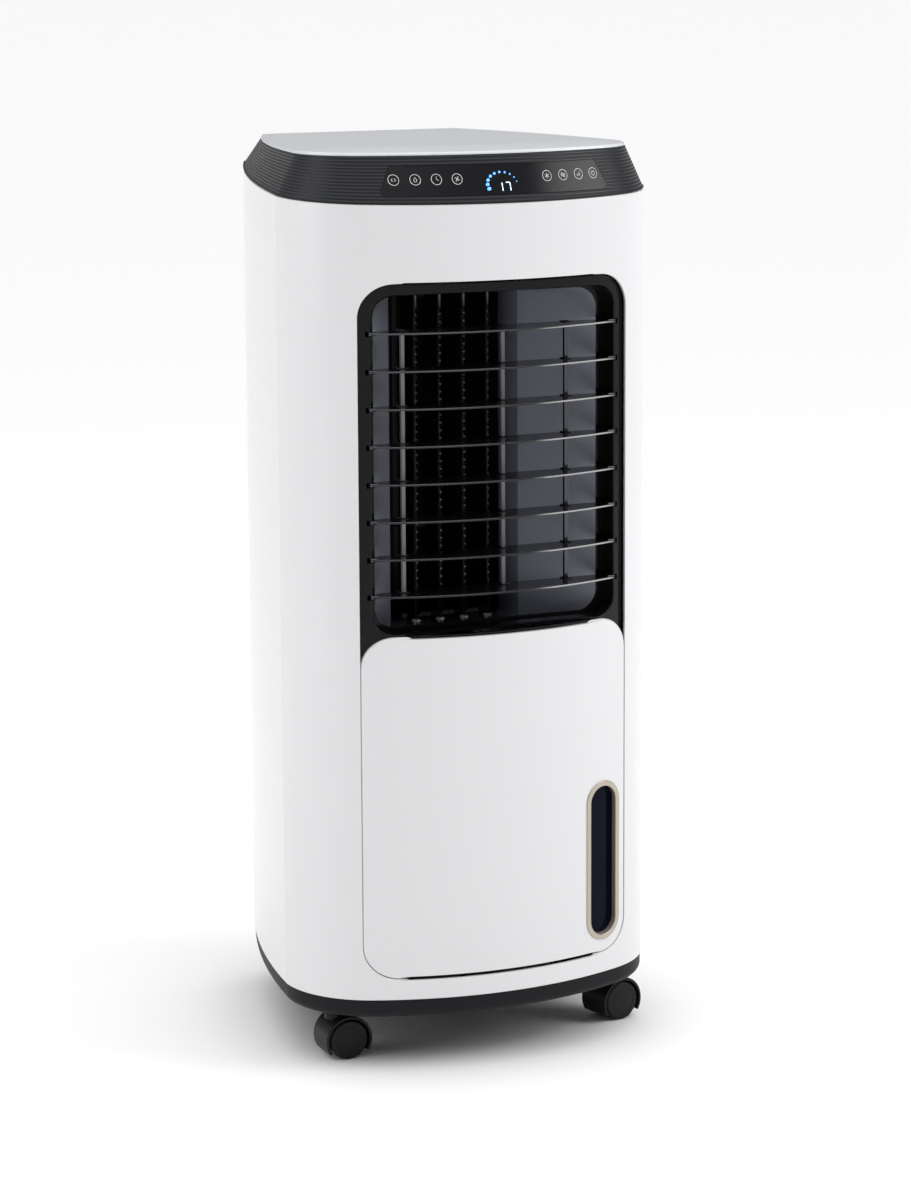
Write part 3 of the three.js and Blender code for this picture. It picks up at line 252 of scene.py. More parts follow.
def turned_steel(name):
    material, tree, shader = start_material(name)
    brushed = noise(tree, 60.0, 3.0, stretch=(1, 1, 30))
    steel = tinted(tree, brushed, (0.50, 0.51, 0.53), (0.68, 0.69, 0.71))
    tree.links.new(steel, shader.inputs["Base Color"])
    tree.links.new((brushed * 0.2 + 0.18).socket, shader.inputs["Roughness"])
    tree.links.new(bumped(tree, brushed * 8e-6, 1.0, 1.0), shader.inputs["Normal"])
    shader.inputs["Metallic"].default_value = 1.0
    return material


def fibre(name, dry, wet, scale, bump):
    material, tree, shader = start_material(name)
    patches = noise(tree, 14.0, 4.0)
    strands = noise(tree, scale, 4.0, stretch=(1, 1, 5))
    tree.links.new(tinted(tree, patches * 0.5 + strands * 0.5, dry, wet), shader.inputs["Base Color"])
    tree.links.new((strands * 0.25 + 0.65).socket, shader.inputs["Roughness"])
    tree.links.new(bumped(tree, strands * bump, 1.0, 1.0), shader.inputs["Normal"])
    shader.inputs["Sheen Weight"].default_value = 0.15
    return material


def lamp(name, color, strength):
    material, tree, shader = start_material(name)
    glow = noise(tree, 700.0, 1.0)
    dimmer = tuple(c * 0.75 for c in color)
    tree.links.new(tinted(tree, glow, color, dimmer), shader.inputs["Emission Color"])
    shader.inputs["Emission Strength"].default_value = strength
    shader.inputs["Base Color"].default_value = (*color, 1)
    shader.inputs["Roughness"].default_value = 0.3
    return material


def solder_mask(name):
    material, tree, shader = start_material(name)
    traces = noise(tree, 90.0, 0.0, stretch=(1, 1, 4)).above(0.55)
    green = tinted(tree, traces, (0.012, 0.09, 0.035), (0.03, 0.17, 0.07))
    tree.links.new(green, shader.inputs["Base Color"])
    tree.links.new(bumped(tree, traces * 4e-5, 1.0, 1.0), shader.inputs["Normal"])
    shader.inputs["Roughness"].default_value = 0.35
    return material


STEEL = turned_steel("bright_steel")
PAD = fibre("pad_cellulose", (0.30, 0.22, 0.12), (0.13, 0.09, 0.05), 260.0, 6e-5)
MESH = fibre("filter_nylon", (0.06, 0.06, 0.065), (0.03, 0.03, 0.034), 900.0, 2e-5)
BLUE = lamp("indicator_blue", (0.10, 0.36, 0.95), 1.6)
PALE_BLUE = lamp("digit_white", (0.62, 0.78, 1.0), 1.5)
BOARD = solder_mask("solder_mask")
print("finishes:", len(bpy.data.materials))

# %% [markdown]
# ## The cabinet's outline
# Seen from above, the cabinet is one smooth line of arcs: a shallow bow across the front, a round
# corner, a long side that starts with a slight kink at the seam, and a small corner to the flat
# rear. Everything that follows the cabinet is made from this one rule, moved in by an inset.

# %% The outline's arcs
FRONT_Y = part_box("front_shell")[0].y
REAR_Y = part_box("rear_shell")[1].y
HALF_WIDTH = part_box("rear_shell")[1].x
FRONT_RADIUS = 0.341
CORNER_RADIUS = 0.095
REAR_HALF_WIDTH = 0.1294
REAR_RADIUS = 0.018
SEAM_KINK = math.radians(5)
GAP = 0.0003

BOW_Y = FRONT_Y + FRONT_RADIUS
CORNER_X = HALF_WIDTH - CORNER_RADIUS
CORNER_Y = BOW_Y - math.sqrt((FRONT_RADIUS - CORNER_RADIUS) ** 2 - CORNER_X**2)
inward = Vector((math.cos(SEAM_KINK), math.sin(SEAM_KINK)))
to_rear = Vector((REAR_HALF_WIDTH - REAR_RADIUS - HALF_WIDTH, REAR_Y - REAR_RADIUS - CORNER_Y))
SIDE_RADIUS = (REAR_RADIUS**2 - to_rear.length_squared) / (2 * (to_rear.dot(inward) + REAR_RADIUS))
SIDE_X = HALF_WIDTH - SIDE_RADIUS * inward.x
SIDE_Y = CORNER_Y - SIDE_RADIUS * inward.y


def arc(x, y, radius, start, stop, count):
    angles = [start + (stop - start) * i / count for i in range(count + 1)]
    return [(x + radius * math.cos(a), y + radius * math.sin(a)) for a in angles]


def outline(inset=0.0):
    """The plan outline, anticlockwise from the front crown, moved in by inset."""
    tangent = math.atan2(CORNER_Y - BOW_Y, CORNER_X)
    side = SIDE_RADIUS - inset
    seam = math.asin((CORNER_Y - SIDE_Y) / side)
    rear = max(REAR_RADIUS - inset, 0.0005)
    rear_y = REAR_Y - inset - rear
    rear_x = SIDE_X + math.sqrt((side - rear) ** 2 - (rear_y - SIDE_Y) ** 2)
    turn = math.atan2(rear_y - SIDE_Y, rear_x - SIDE_X)
    right = [
        *arc(0, BOW_Y, FRONT_RADIUS - inset, -math.pi / 2, tangent, 48),
        *arc(CORNER_X, CORNER_Y, CORNER_RADIUS - inset, tangent, 0, 32)[1:],
        *arc(SIDE_X, SIDE_Y, side, seam, turn, 20)[1:],
        *arc(rear_x, rear_y, rear, turn, math.pi / 2, 10)[1:],
    ]
    return right + [(-x, y) for x, y in reversed(right[1:])]


def bow(x, depth=0.0):
    """Where the bowed front is at x, at a depth behind the cabinet's face."""
    return BOW_Y - math.sqrt((FRONT_RADIUS - depth) ** 2 - x * x)


print("outline points:", len(outline()), "seam at y", round(CORNER_Y, 4))

# %% [markdown]
# ## Solids from rings
# A moulding with a constant run is a stack of rings joined by quads. Closing the last ring to the
# first gives a wall with two faces. The edges of a real moulding are always a little round, so a
# quarter circle is part of the stack, and holes are cut with tools whose rim is round as well.

# %% Rings, quarter rounds and boolean cuts


def new_piece(name, bm):
    """An object at the origin with the bmesh's shape, faces outwards."""
    if bm.calc_volume(signed=True) < 0:
        bmesh.ops.reverse_faces(bm, faces=bm.faces)
    mesh = bpy.data.meshes.new(name)
    bm.to_mesh(mesh)
    bm.free()
    for polygon in mesh.polygons:
        polygon.use_smooth = True
    piece = bpy.data.objects.new(name, mesh)
    bpy.context.scene.collection.objects.link(piece)
    return piece


def stacked(rings, closed=False):
    """A bmesh through rings of equal point count. closed joins the last to the first."""
    bm = bmesh.new()
    rows = [[bm.verts.new(point) for point in ring] for ring in rings]
    count = len(rows[0])
    pairs = list(zip(rows, rows[1:])) + ([(rows[-1], rows[0])] if closed else [])
    for low, high in pairs:
        for i in range(count):
            j = (i + 1) % count
            bm.faces.new((low[i], low[j], high[j], high[i]))
    if not closed:
        bm.faces.new(list(reversed(rows[0])))
        bm.faces.new(rows[-1])
    bmesh.ops.recalc_face_normals(bm, faces=bm.faces)
    return bm


def level_ring(inset, z):
    """The outline at a height, which is a number or a function of y."""
    return [(x, y, z(y) if callable(z) else z) for x, y in outline(inset)]


def quarter(radius, steps=4):
    """(inset, rise) pairs round a quarter circle, from its flat end to its upright end."""
    angles = [i / steps * math.pi / 2 for i in range(steps + 1)]
    return [(radius * (1 - math.sin(a)), radius * (1 - math.cos(a))) for a in angles]


def freeze(piece):
    """Turns a piece and its modifiers into a plain mesh."""
    graph = bpy.context.evaluated_depsgraph_get()
    mesh = bpy.data.meshes.new_from_object(piece.evaluated_get(graph), depsgraph=graph)
    old = piece.data
    piece.modifiers.clear()
    piece.data = mesh
    bpy.data.meshes.remove(old)
    mesh.name = piece.name
    return piece


def combine(piece, operation, *tools):
    """Cuts, keeps or joins with tools, which are used up."""
    for tool in tools:
        modifier = piece.modifiers.new("tool", "BOOLEAN")
        modifier.operation = operation
        modifier.solver = "EXACT"
        modifier.object = tool
    freeze(piece)
    for tool in tools:
        bpy.data.objects.remove(tool)
    return piece


def smoothed(piece, bevel=0.0, angle=30, segments=2):
    """Rounds the sharp edges and lets the broad faces keep their own shading."""
    if bevel:
        modifier = piece.modifiers.new("bevel", "BEVEL")
        modifier.width = bevel
        modifier.segments = segments
        modifier.limit_method = "ANGLE"
        modifier.angle_limit = math.radians(angle)
    bm = bmesh.new()
    bm.from_mesh(piece.data)
    for edge in bm.edges:
        edge.smooth = bool(bevel) or edge.calc_face_angle(0) < math.radians(angle)
    for face in bm.faces:
        face.smooth = True
    bm.to_mesh(piece.data)
    bm.free()
    weighted = piece.modifiers.new("weighted", "WEIGHTED_NORMAL")
    weighted.keep_sharp = True
    return freeze(piece)


def done(piece, material, slot, body, *nodes):
    """Gives a piece its finish and its place in the assembly."""
    piece.data.materials.clear()
    piece.data.materials.append(material)
    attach(piece, body)
    if nodes:
        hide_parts(*nodes)
    return piece


def copied(name, piece, place):
    """A piece with a copy of another's mesh, moved by a matrix."""
    mesh = piece.data.copy()
    mesh.transform(place)
    copy = bpy.data.objects.new(name, mesh)
    bpy.context.scene.collection.objects.link(copy)
    return copy


def cylinder(name, start, stop, radius, segments=24):
    """A closed cylinder between two points."""
    axis = Vector(stop) - Vector(start)
    bm = bmesh.new()
    bmesh.ops.create_cone(
        bm, cap_ends=True, segments=segments, radius1=radius, radius2=radius, depth=axis.length
    )
    turn = axis.to_track_quat("Z", "Y").to_matrix().to_4x4()
    bm.transform(Matrix.Translation((Vector(start) + Vector(stop)) / 2) @ turn)
    return new_piece(name, bm)


def block(name, low, high):
    """A closed box between two corners, for cutting with."""
    bm = bmesh.new()
    bmesh.ops.create_cube(bm, size=1)
    low, high = Vector(low), Vector(high)
    bm.transform(Matrix.Translation((low + high) / 2) @ Matrix.Diagonal((*(high - low), 1)))
    return new_piece(name, bm)


def rounded_rectangle(x0, x1, z0, z1, radius, steps=14):
    """(x, z) points anticlockwise seen from the front."""
    corners = [
        (x1 - radius, z0 + radius, -90),
        (x1 - radius, z1 - radius, 0),
        (x0 + radius, z1 - radius, 90),
        (x0 + radius, z0 + radius, 180),
    ]
    points = []
    for x, z, start in corners:
        points += arc(x, z, radius, math.radians(start), math.radians(start + 90), steps)
    return points


# %% [markdown]
# ## Shapes on the bowed front
# The outlet, the door and the window are rounded rectangles seen from the front, on a face that
# bows. A tool for them is a stack of such rectangles that starts and ends on a flat plane and
# follows the bow in between. Its quarter round goes with the bow, so a cut edge is round all along.

# %% Tools and plates that follow the bow


def bowed_ring(x0, x1, z0, z1, radius, grow, depth):
    """A rounded rectangle grown by grow, on the bow at a depth behind the face."""
    points = rounded_rectangle(x0 - grow, x1 + grow, z0 - grow, z1 + grow, radius + grow)
    return [(x, bow(x, depth), z) for x, z in points]


def flat_ring(x0, x1, z0, z1, radius, grow, y):
    points = rounded_rectangle(x0 - grow, x1 + grow, z0 - grow, z1 + grow, radius + grow)
    return [(x, y, z) for x, z in points]


AHEAD_Y = FRONT_Y - 0.05


def mouth_tool(name, rectangle, face_depth, ease, back_y):
    """Cuts a hole with a round rim into a bowed face."""
    rings = [flat_ring(*rectangle, ease, AHEAD_Y), bowed_ring(*rectangle, ease, face_depth - 0.1 * ease)]
    rings += [bowed_ring(*rectangle, inset, face_depth + rise) for inset, rise in quarter(ease)[1:]]
    rings.append(flat_ring(*rectangle, 0, back_y))
    return new_piece(name, stacked(rings))


def plate_tool(name, rectangle, face_depth, ease, back_y):
    """Keeps a plate with a round front edge from a bowed slab."""
    rings = [flat_ring(*rectangle, -ease, AHEAD_Y), bowed_ring(*rectangle, -ease, face_depth - 0.1 * ease)]
    rings += [bowed_ring(*rectangle, -inset, face_depth + rise) for inset, rise in quarter(ease)[1:]]
    rings.append(flat_ring(*rectangle, 0, back_y))
    return new_piece(name, stacked(rings))


def bowed_slab(name, half, z0, z1, front, back, columns=96):
    """A slab between two depths behind the face."""
    xs = [half * (2 * i / columns - 1) for i in range(columns + 1)]
    plan = [(x, bow(x, front)) for x in xs] + [(x, bow(x, back)) for x in reversed(xs)]
    return new_piece(name, stacked([[(x, y, z) for x, y in plan] for z in (z0, z1)]))


def span(node):
    """x0, x1, z0, z1 of a node seen from the front."""
    low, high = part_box(node)
    return low.x, high.x, low.z, high.z


# %% [markdown]
# ## Front and rear shells
# Two white shells meet at a fine upright seam on each side. Each is a 3 mm wall that stands on the
# base and ends at the band. Their lower and upper edges are rounded, which gives the bright line
# above the black base. The whole wall is stacked first, then halved at the seam, so that both
# halves share one surface. The front half has the tall bay for outlet and door.

# %% The two shells
WALL = 0.003
SHELL_EDGE = 0.0012
BAND_SLOPE = 0.05
BAND_FRONT_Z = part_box("top_band")[0].z
BAND_TOP_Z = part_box("top_band")[1].z
BAND_INSET = 0.0185
SHELL_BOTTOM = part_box("front_shell")[0].z


def band_foot(y):
    """The band's lower edge, which rises towards the rear."""
    return BAND_FRONT_Z + BAND_SLOPE * (y - FRONT_Y)


def shell_half(name, keep_front):
    rings = [level_ring(inset, SHELL_BOTTOM + rise) for inset, rise in quarter(SHELL_EDGE)]
    for inset, rise in reversed(quarter(SHELL_EDGE)):
        rings.append(level_ring(inset, lambda y, rise=rise: band_foot(y) - GAP - rise))
    rings.append(level_ring(WALL, lambda y: band_foot(y) - GAP))
    rings.append(level_ring(WALL, SHELL_BOTTOM))
    bm = stacked(rings, closed=True)
    side = -1 if keep_front else 1
    cut = bmesh.ops.bisect_plane(
        bm,
        geom=bm.verts[:] + bm.edges[:] + bm.faces[:],
        plane_co=(0, CORNER_Y + side * GAP / 2, 0),
        plane_no=(0, -side, 0),
        clear_outer=True,
    )
    edges = [e for e in cut["geom_cut"] if isinstance(e, bmesh.types.BMEdge)]
    bmesh.ops.holes_fill(bm, edges=edges)
    bmesh.ops.recalc_face_normals(bm, faces=bm.faces)
    return new_piece(name, bm)


BAY = (-0.1424, 0.1424, 0.0944, 0.780, 0.033)
BAY_EDGE = 0.0012
front_shell = shell_half("shell_front", True)
combine(front_shell, "DIFFERENCE", mouth_tool("bay", BAY, 0.0, BAY_EDGE, 0.0))
smoothed(front_shell)
done(front_shell, WHITE, "white_shell", "cabinet", "front_shell")

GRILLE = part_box("rear_grille")
TANK_LOW, TANK_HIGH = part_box("water_tank")
GLAND_LOW, GLAND_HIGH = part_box("cord_gland")
HOLE_EDGE = 0.0008
HOLE_START_Y = REAR_Y - 0.012
BEHIND_Y = REAR_Y + 0.01
rear_shell = shell_half("shell_rear", False)


def rear_hole(name, low, high, play, radius):
    """A tool for a rounded hole in the flat rear wall."""
    rectangle = (low.x - play, high.x + play, low.z - play, high.z + play, radius)
    ease = HOLE_EDGE
    rings = [flat_ring(*rectangle, 0, HOLE_START_Y), flat_ring(*rectangle, 0, REAR_Y - ease)]
    rings += [flat_ring(*rectangle, ease - i, REAR_Y - r) for i, r in reversed(quarter(ease)[:-1])]
    rings.append(flat_ring(*rectangle, ease, BEHIND_Y))
    return new_piece(name, stacked(rings))


HOLE_PLAY = 0.001
door_low = (TANK_LOW.x - HOLE_PLAY, HOLE_START_Y, 0.06)
door_high = (TANK_HIGH.x + HOLE_PLAY, BEHIND_Y, TANK_HIGH.z + HOLE_PLAY)
door = block("door", door_low, door_high)
gland_radius = (GLAND_HIGH.x - GLAND_LOW.x) / 2 + GAP * 0.9
combine(
    rear_shell,
    "DIFFERENCE",
    rear_hole("grille_hole", *GRILLE, HOLE_PLAY, 0.004),
    door,
    rear_hole("gland_hole", GLAND_LOW, GLAND_HIGH, GAP, gland_radius),
)
smoothed(rear_shell)
done(rear_shell, WHITE, "white_shell", "cabinet", "rear_shell")
print("shells:", len(front_shell.data.polygons), len(rear_shell.data.polygons))

# %% [markdown]
# ## Base tray
# The black base is a deep tray whose lower edge is strongly rounded, so that it reads as a dark
# stripe that curls under. It is stacked from the same outline, up the outside and down the inside.
# The rear has a low notch where the tank slides over it, and the caster stems pass through its floor.

# %% The base tray
BASE_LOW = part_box("base_tray")[0]
BASE_TOP = SHELL_BOTTOM - GAP
BASE_INSET = 0.0012
BASE_ROUND = 0.008
BASE_FLOOR = BASE_LOW.z + 0.0055
rings = [level_ring(BASE_INSET + inset, BASE_LOW.z + rise) for inset, rise in quarter(BASE_ROUND, 10)]
for inset, drop in ((0.0, 0.0006), (0.0002, 0.0002), (0.0006, 0.0)):
    rings.append(level_ring(BASE_INSET + inset, BASE_TOP - drop))
rings.append(level_ring(BASE_INSET + WALL, BASE_TOP))
rings.append(level_ring(BASE_INSET + 2 * WALL, BASE_FLOOR))
base = new_piece("base", stacked(rings))
notch_low = (TANK_LOW.x - HOLE_PLAY, REAR_Y - 0.024, BASE_FLOOR)
notch_high = (TANK_HIGH.x + HOLE_PLAY, BEHIND_Y, 0.09)
notch = block("notch", notch_low, notch_high)
STEM_HOLE = 0.0055
CASTERS = ("fl", "fr", "rl", "rr")
stems = []
for key in CASTERS:
    x, y, _ = joints[f"caster_{key}_swivel"]["pos_m"]
    stems.append(cylinder("stem", (x, y, BASE_LOW.z - 0.01), (x, y, BASE_FLOOR + 0.01), STEM_HOLE))
combine(base, "DIFFERENCE", notch, *stems)
smoothed(base)
done(base, BASE_SATIN, "black_satin", "cabinet", "base_tray")

# %% [markdown]
# ## Ribbed band
# The charcoal band leans in towards the lid, and fine ribs run all the way round it. The ribs are
# a profile that follows a path, which is what Geometry Nodes' Curve to Mesh is for: the path is the
# outline, and the profile is a line whose points are pushed out by a rounded wave. The profile's
# heights are then stretched between the sloping lower edge and the level upper edge.

# %% Running a Geometry Nodes tree


def new_tree(name, sizes):
    """A Geometry Nodes tree with a geometry input and a named input for each size."""
    tree = bpy.data.node_groups.new(name, "GeometryNodeTree")
    tree.interface.new_socket("Geometry", in_out="INPUT", socket_type="NodeSocketGeometry")
    tree.interface.new_socket("Geometry", in_out="OUTPUT", socket_type="NodeSocketGeometry")
    for label, value in sizes.items():
        kind = "NodeSocketInt" if isinstance(value, int) else "NodeSocketFloat"
        tree.interface.new_socket(label, in_out="INPUT", socket_type=kind)
    source = tree.nodes.new("NodeGroupInput")
    return tree, {out.name: Field(tree, out) for out in source.outputs if out.name}


def end_tree(tree, geometry, material, smooth=True):
    """Realize Instances, smooth shading and Set Material, then the output."""
    real = make(tree, "GeometryNodeRealizeInstances", {"Geometry": geometry}).outputs[0]
    shade = make(tree, "GeometryNodeSetShadeSmooth", {"Geometry": real, "Shade Smooth": smooth}).outputs[0]
    painted = make(tree, "GeometryNodeSetMaterial", {"Geometry": shade, "Material": material}).outputs[0]
    make(tree, "NodeGroupOutput", {"Geometry": painted})


def grown(name, seed_mesh, tree, sizes):
    """Runs a tree on a mesh and returns the plain result as a piece."""
    piece = bpy.data.objects.new(name, seed_mesh)
    bpy.context.scene.collection.objects.link(piece)
    modifier = piece.modifiers.new("nodes", "NODES")
    modifier.node_group = tree
    for item in tree.interface.items_tree:
        if item.item_type == "SOCKET" and item.in_out == "INPUT" and item.name in sizes:
            modifier[item.identifier] = sizes[item.name]
    freeze(piece)
    bm = bmesh.new()
    bm.from_mesh(piece.data)
    if bm.calc_volume(signed=True) < 0:
        bmesh.ops.reverse_faces(bm, faces=bm.faces)
    bm.to_mesh(piece.data)
    bm.free()
    return piece


def line_mesh(name, points, closed=False):
    """A mesh of points joined by edges, as a seed for a tree."""
    count = len(points)
    edges = [(i, (i + 1) % count) for i in range(count if closed else count - 1)]
    mesh = bpy.data.meshes.new(name)
    mesh.from_pydata(points, edges, [])
    return mesh


# %% The band's ribs follow the outline
BAND = {
    "Ribs": 14,
    "Points per rib": 6,
    "Rib height": 0.00055,
    "Lean": BAND_INSET,
    "Wall": 2 * WALL,
    "Foot at front": BAND_FRONT_Z,
    "Foot slope": BAND_SLOPE,
    "Front": FRONT_Y,
    "Top": BAND_TOP_Z,
}
tree, size = new_tree("ribbed_band", BAND)
path = make(tree, "GeometryNodeMeshToCurve", {"Mesh": size["Geometry"]}).outputs[0]
path = make(tree, "GeometryNodeSetCurveNormal", {"Curve": path}, mode="Z_UP").outputs[0]
last = size["Ribs"] * size["Points per rib"]
line = make(tree, "GeometryNodeCurvePrimitiveLine").outputs[0]
line = make(tree, "GeometryNodeResampleCurve", {"Curve": line, "Count": last + 3}).outputs[0]
index = Field(tree, make(tree, "GeometryNodeInputIndex").outputs[0])
inner = index.above(last + 0.5)
along = (index / last) * (inner * -1 + 1) + inner * (last + 2 - index)
phase = (along * size["Ribs"]).op("FRACT") * 2 - 1
wave = (phase.op("ABSOLUTE").op("POWER", 2.5) * -1 + 1) * size["Rib height"]
out = (along * size["Lean"]) * -1 + wave * (inner * -1 + 1) - inner * size["Wall"] - size["Rib height"]
place = {"Geometry": line, "Position": vector_of(tree, out, along, 0.0)}
profile = make(tree, "GeometryNodeSetPosition", place).outputs[0]
profile = make(tree, "GeometryNodeSetSplineCyclic", {"Geometry": profile, "Cyclic": True}).outputs[0]
swept = make(tree, "GeometryNodeCurveToMesh", {"Curve": path, "Profile Curve": profile}).outputs[0]
x, y, z = split(tree, make(tree, "GeometryNodeInputPosition").outputs[0])
foot = (y - size["Front"]) * size["Foot slope"] + size["Foot at front"]
level = foot + z.op("ABSOLUTE") * (size["Top"] - foot)
place = {"Geometry": swept, "Position": vector_of(tree, x, y, level)}
end_tree(tree, make(tree, "GeometryNodeSetPosition", place).outputs[0], CHARCOAL)
loop = line_mesh("band_path", [(x, y, 0) for x, y in outline()], closed=True)
band = grown("band", loop, tree, BAND)
print("band faces:", len(band.data.polygons), "ribs:", BAND["Ribs"])

# %% [markdown]
# ## Touch panel
# The smooth panel is a rounded trapezoid let into the ribs with a hairline groove round it. A tool
# of that shape cuts the band, and the same shape, a hair smaller, keeps the panel out of a smooth
# slab that leans as the band does. Its edge is eased, so that a fine line is seen all round it.

# %% The panel in the band
PANEL_HALF_LOW = 0.122
PANEL_HALF_HIGH = 0.1085
PANEL_BOTTOM, PANEL_TOP = 0.8625, 0.8915
PANEL_CORNER = 0.005


def rounded_polygon(corners, radius, steps=8):
    """A convex polygon, anticlockwise, with its corners rounded."""
    points = []
    for i, corner in enumerate(corners):
        here = Vector(corner)
        back = (Vector(corners[i - 1]) - here).normalized()
        ahead = (Vector(corners[(i + 1) % len(corners)]) - here).normalized()
        half = back.angle(ahead) / 2
        centre = here + (back + ahead).normalized() * radius / math.sin(half)
        first = here + back * radius / math.tan(half) - centre
        start = math.atan2(first.y, first.x)
        points += arc(centre.x, centre.y, radius, start, start + math.pi - 2 * half, steps)
    return points


def trapezoid(grow):
    """(x, z) points of the panel's outline, with round corners."""
    low, high = PANEL_HALF_LOW + grow, PANEL_HALF_HIGH + grow
    bottom, top = PANEL_BOTTOM - grow, PANEL_TOP + grow
    corners = [(low, bottom), (high, top), (-high, top), (-low, bottom)]
    return rounded_polygon(corners, PANEL_CORNER + grow)


def trapezoid_tool(name, grow, back_y):
    rings = [[(x, y, z) for x, z in trapezoid(grow)] for y in (AHEAD_Y, back_y)]
    return new_piece(name, stacked(rings))


def leaning_slab(name, front, back):
    """The band's smooth surface between two depths, a little taller than the panel."""
    def at(depth, share):
        return level_ring(
            depth + share * BAND_INSET,
            lambda y: band_foot(y) + share * (BAND_TOP_Z - band_foot(y)),
        )

    corners = [at(front, 0.02), at(front, 0.98), at(back, 0.98), at(back, 0.02)]
    return new_piece(name, stacked(corners, closed=True))


PANEL_BACK = FRONT_Y + 0.06
combine(band, "DIFFERENCE", trapezoid_tool("panel_hole", 0.0, PANEL_BACK))
smoothed(band, angle=50)
done(band, CHARCOAL, "charcoal_band", "cabinet", "top_band")
panel = leaning_slab("touch_panel", 0.0001, 0.0021)
combine(panel, "INTERSECT", trapezoid_tool("panel_shape", -0.0004, PANEL_BACK))
smoothed(panel, bevel=0.0003, angle=40)
done(panel, TOUCH, "control_gloss", "cabinet", "control_panel")

# %% [markdown]
# ## Round beads along a path
# A bead is a round section swept along a line. One small tree makes them all: the rolled lip at the
# foot of the band, the printed signs on the touch panel and the wires of the dust filter. Each seed
# is a mesh of bare edges, and the width is a named input.

# %% The bead tree and the band's lip


def bead_tree(material, sides):
    sizes = {"Width": 0.001}
    tree, size = new_tree("bead_" + material.name, sizes)
    path = make(tree, "GeometryNodeMeshToCurve", {"Mesh": size["Geometry"]}).outputs[0]
    circle = {"Resolution": sides, "Radius": size["Width"] * 0.5}
    section = make(tree, "GeometryNodeCurvePrimitiveCircle", circle).outputs[0]
    sweep = {"Curve": path, "Profile Curve": section, "Fill Caps": True}
    end_tree(tree, make(tree, "GeometryNodeCurveToMesh", sweep).outputs[0], material)
    return tree


def strokes_mesh(name, strokes):
    """A seed of bare edges from (points, closed) strokes."""
    points, edges = [], []
    for stroke, closed in strokes:
        first, count = len(points), len(stroke)
        points += stroke
        edges += [(first + i, first + (i + 1) % count) for i in range(count if closed else count - 1)]
    mesh = bpy.data.meshes.new(name)
    mesh.from_pydata(points, edges, [])
    return mesh


LIP_WIDTH = 0.0018
lip_line = [(x, y, band_foot(y) + LIP_WIDTH / 2) for x, y in outline(LIP_WIDTH / 2 - 0.0003)]
lip_seed = strokes_mesh("lip_path", [(lip_line, True)])
band_lip = grown("band_lip", lip_seed, bead_tree(BLACK_SATIN, 12), {"Width": LIP_WIDTH})
done(band_lip, BLACK_SATIN, "black_satin", "cabinet")
print("lip faces:", len(band_lip.data.polygons))

# %% [markdown]
# ## Signs and display
# The touch panel has eight ringed signs and a display. The signs are generic: arrows for the swing,
# a drop, a clock, moving air, a snow star, a strong gust, rising bars and a switch. They are drawn
# as strokes on a unit circle and laid onto the leaning, bowed panel by one mapping. The digits are
# strokes of the usual seven segments, and no lettering is drawn.

# %% Drawing on the panel
SIGN_RADIUS = 0.0049
SIGN_LINE = 0.00048
SIGN_Z = 0.8785


def on_panel(x, z, lift=0.0):
    """The point of the touch panel's face at x and z, stood off by lift."""
    y = FRONT_Y
    for _ in range(3):
        share = (z - band_foot(y)) / (BAND_TOP_Z - band_foot(y))
        y = bow(x, BAND_INSET * share - lift)
    return (x, y, z)


def ring(radius, count=28):
    return arc(0, 0, radius, 0, 2 * math.pi, count)[:-1]


def swirl(start, reach, count=7):
    """A curved petal line from the middle outwards."""
    angles = [math.radians(start + 75 * i / count) for i in range(count + 1)]
    radii = [reach * i / count for i in range(count + 1)]
    return [(r * math.cos(a), r * math.sin(a)) for r, a in zip(radii, angles)]


def gust(height, reach, count=10):
    """A wavy line of moving air."""
    shares = [i / count for i in range(count + 1)]
    return [(reach * (2 * s - 1), height + 0.1 * math.sin(2 * math.pi * s)) for s in shares]


def chevron(side):
    """An arrow head that points to the left (-1) or the right (1)."""
    return [(0.16 * side, 0.28), (0.42 * side, 0), (0.16 * side, -0.28)]


def spoke(degrees, reach=0.5):
    """A line through the middle at an angle."""
    x, y = reach * math.cos(math.radians(degrees)), reach * math.sin(math.radians(degrees))
    return [(x, y), (-x, -y)]


DROP = arc(0, -0.12, 0.30, math.radians(-215), math.radians(35), 10)
SWITCH = arc(0, 0, 0.42, math.radians(125), math.radians(415), 20)
BARS_UP = ((-0.3, -0.05), (0.0, 0.15), (0.3, 0.38))
SIGNS = {
    "swing": [(chevron(-1), False), (chevron(1), False)],
    "drop": [(DROP + [(0.0, 0.46)], True)],
    "clock": [([(0, 0.52), (0, 0), (0.38, -0.18)], False)],
    "air": [(swirl(start, 0.52), False) for start in (0, 90, 180, 270)],
    "snow": [(spoke(degrees), False) for degrees in (90, 30, -30)],
    "gust": [(gust(height, 0.48), False) for height in (0.26, 0.0, -0.26)],
    "bars": [([(x, -0.34), (x, top)], False) for x, top in BARS_UP],
    "switch": [(SWITCH, False), ([(0, 0.05), (0, 0.52)], False)],
}
SIGN_PLACES = [-0.106, -0.086, -0.066, -0.046, 0.0485, 0.067, 0.0855, 0.1035]


def laid(strokes, x, z, scale):
    """Strokes on a unit circle, laid onto the panel round a place."""
    placed = []
    for points, closed in strokes:
        placed.append(([on_panel(x + u * scale, z + v * scale) for u, v in points], closed))
    return placed


sign_strokes = []
for x, strokes in zip(SIGN_PLACES, SIGNS.values()):
    sign_strokes += laid(strokes + [(ring(1.0), True)], x, SIGN_Z, SIGN_RADIUS)
sign_seed = strokes_mesh("sign_lines", sign_strokes)
signs = grown("panel_signs", sign_seed, bead_tree(INK, 6), {"Width": SIGN_LINE})
done(signs, INK, "icon_ink", "cabinet")
print("sign strokes:", len(sign_strokes))

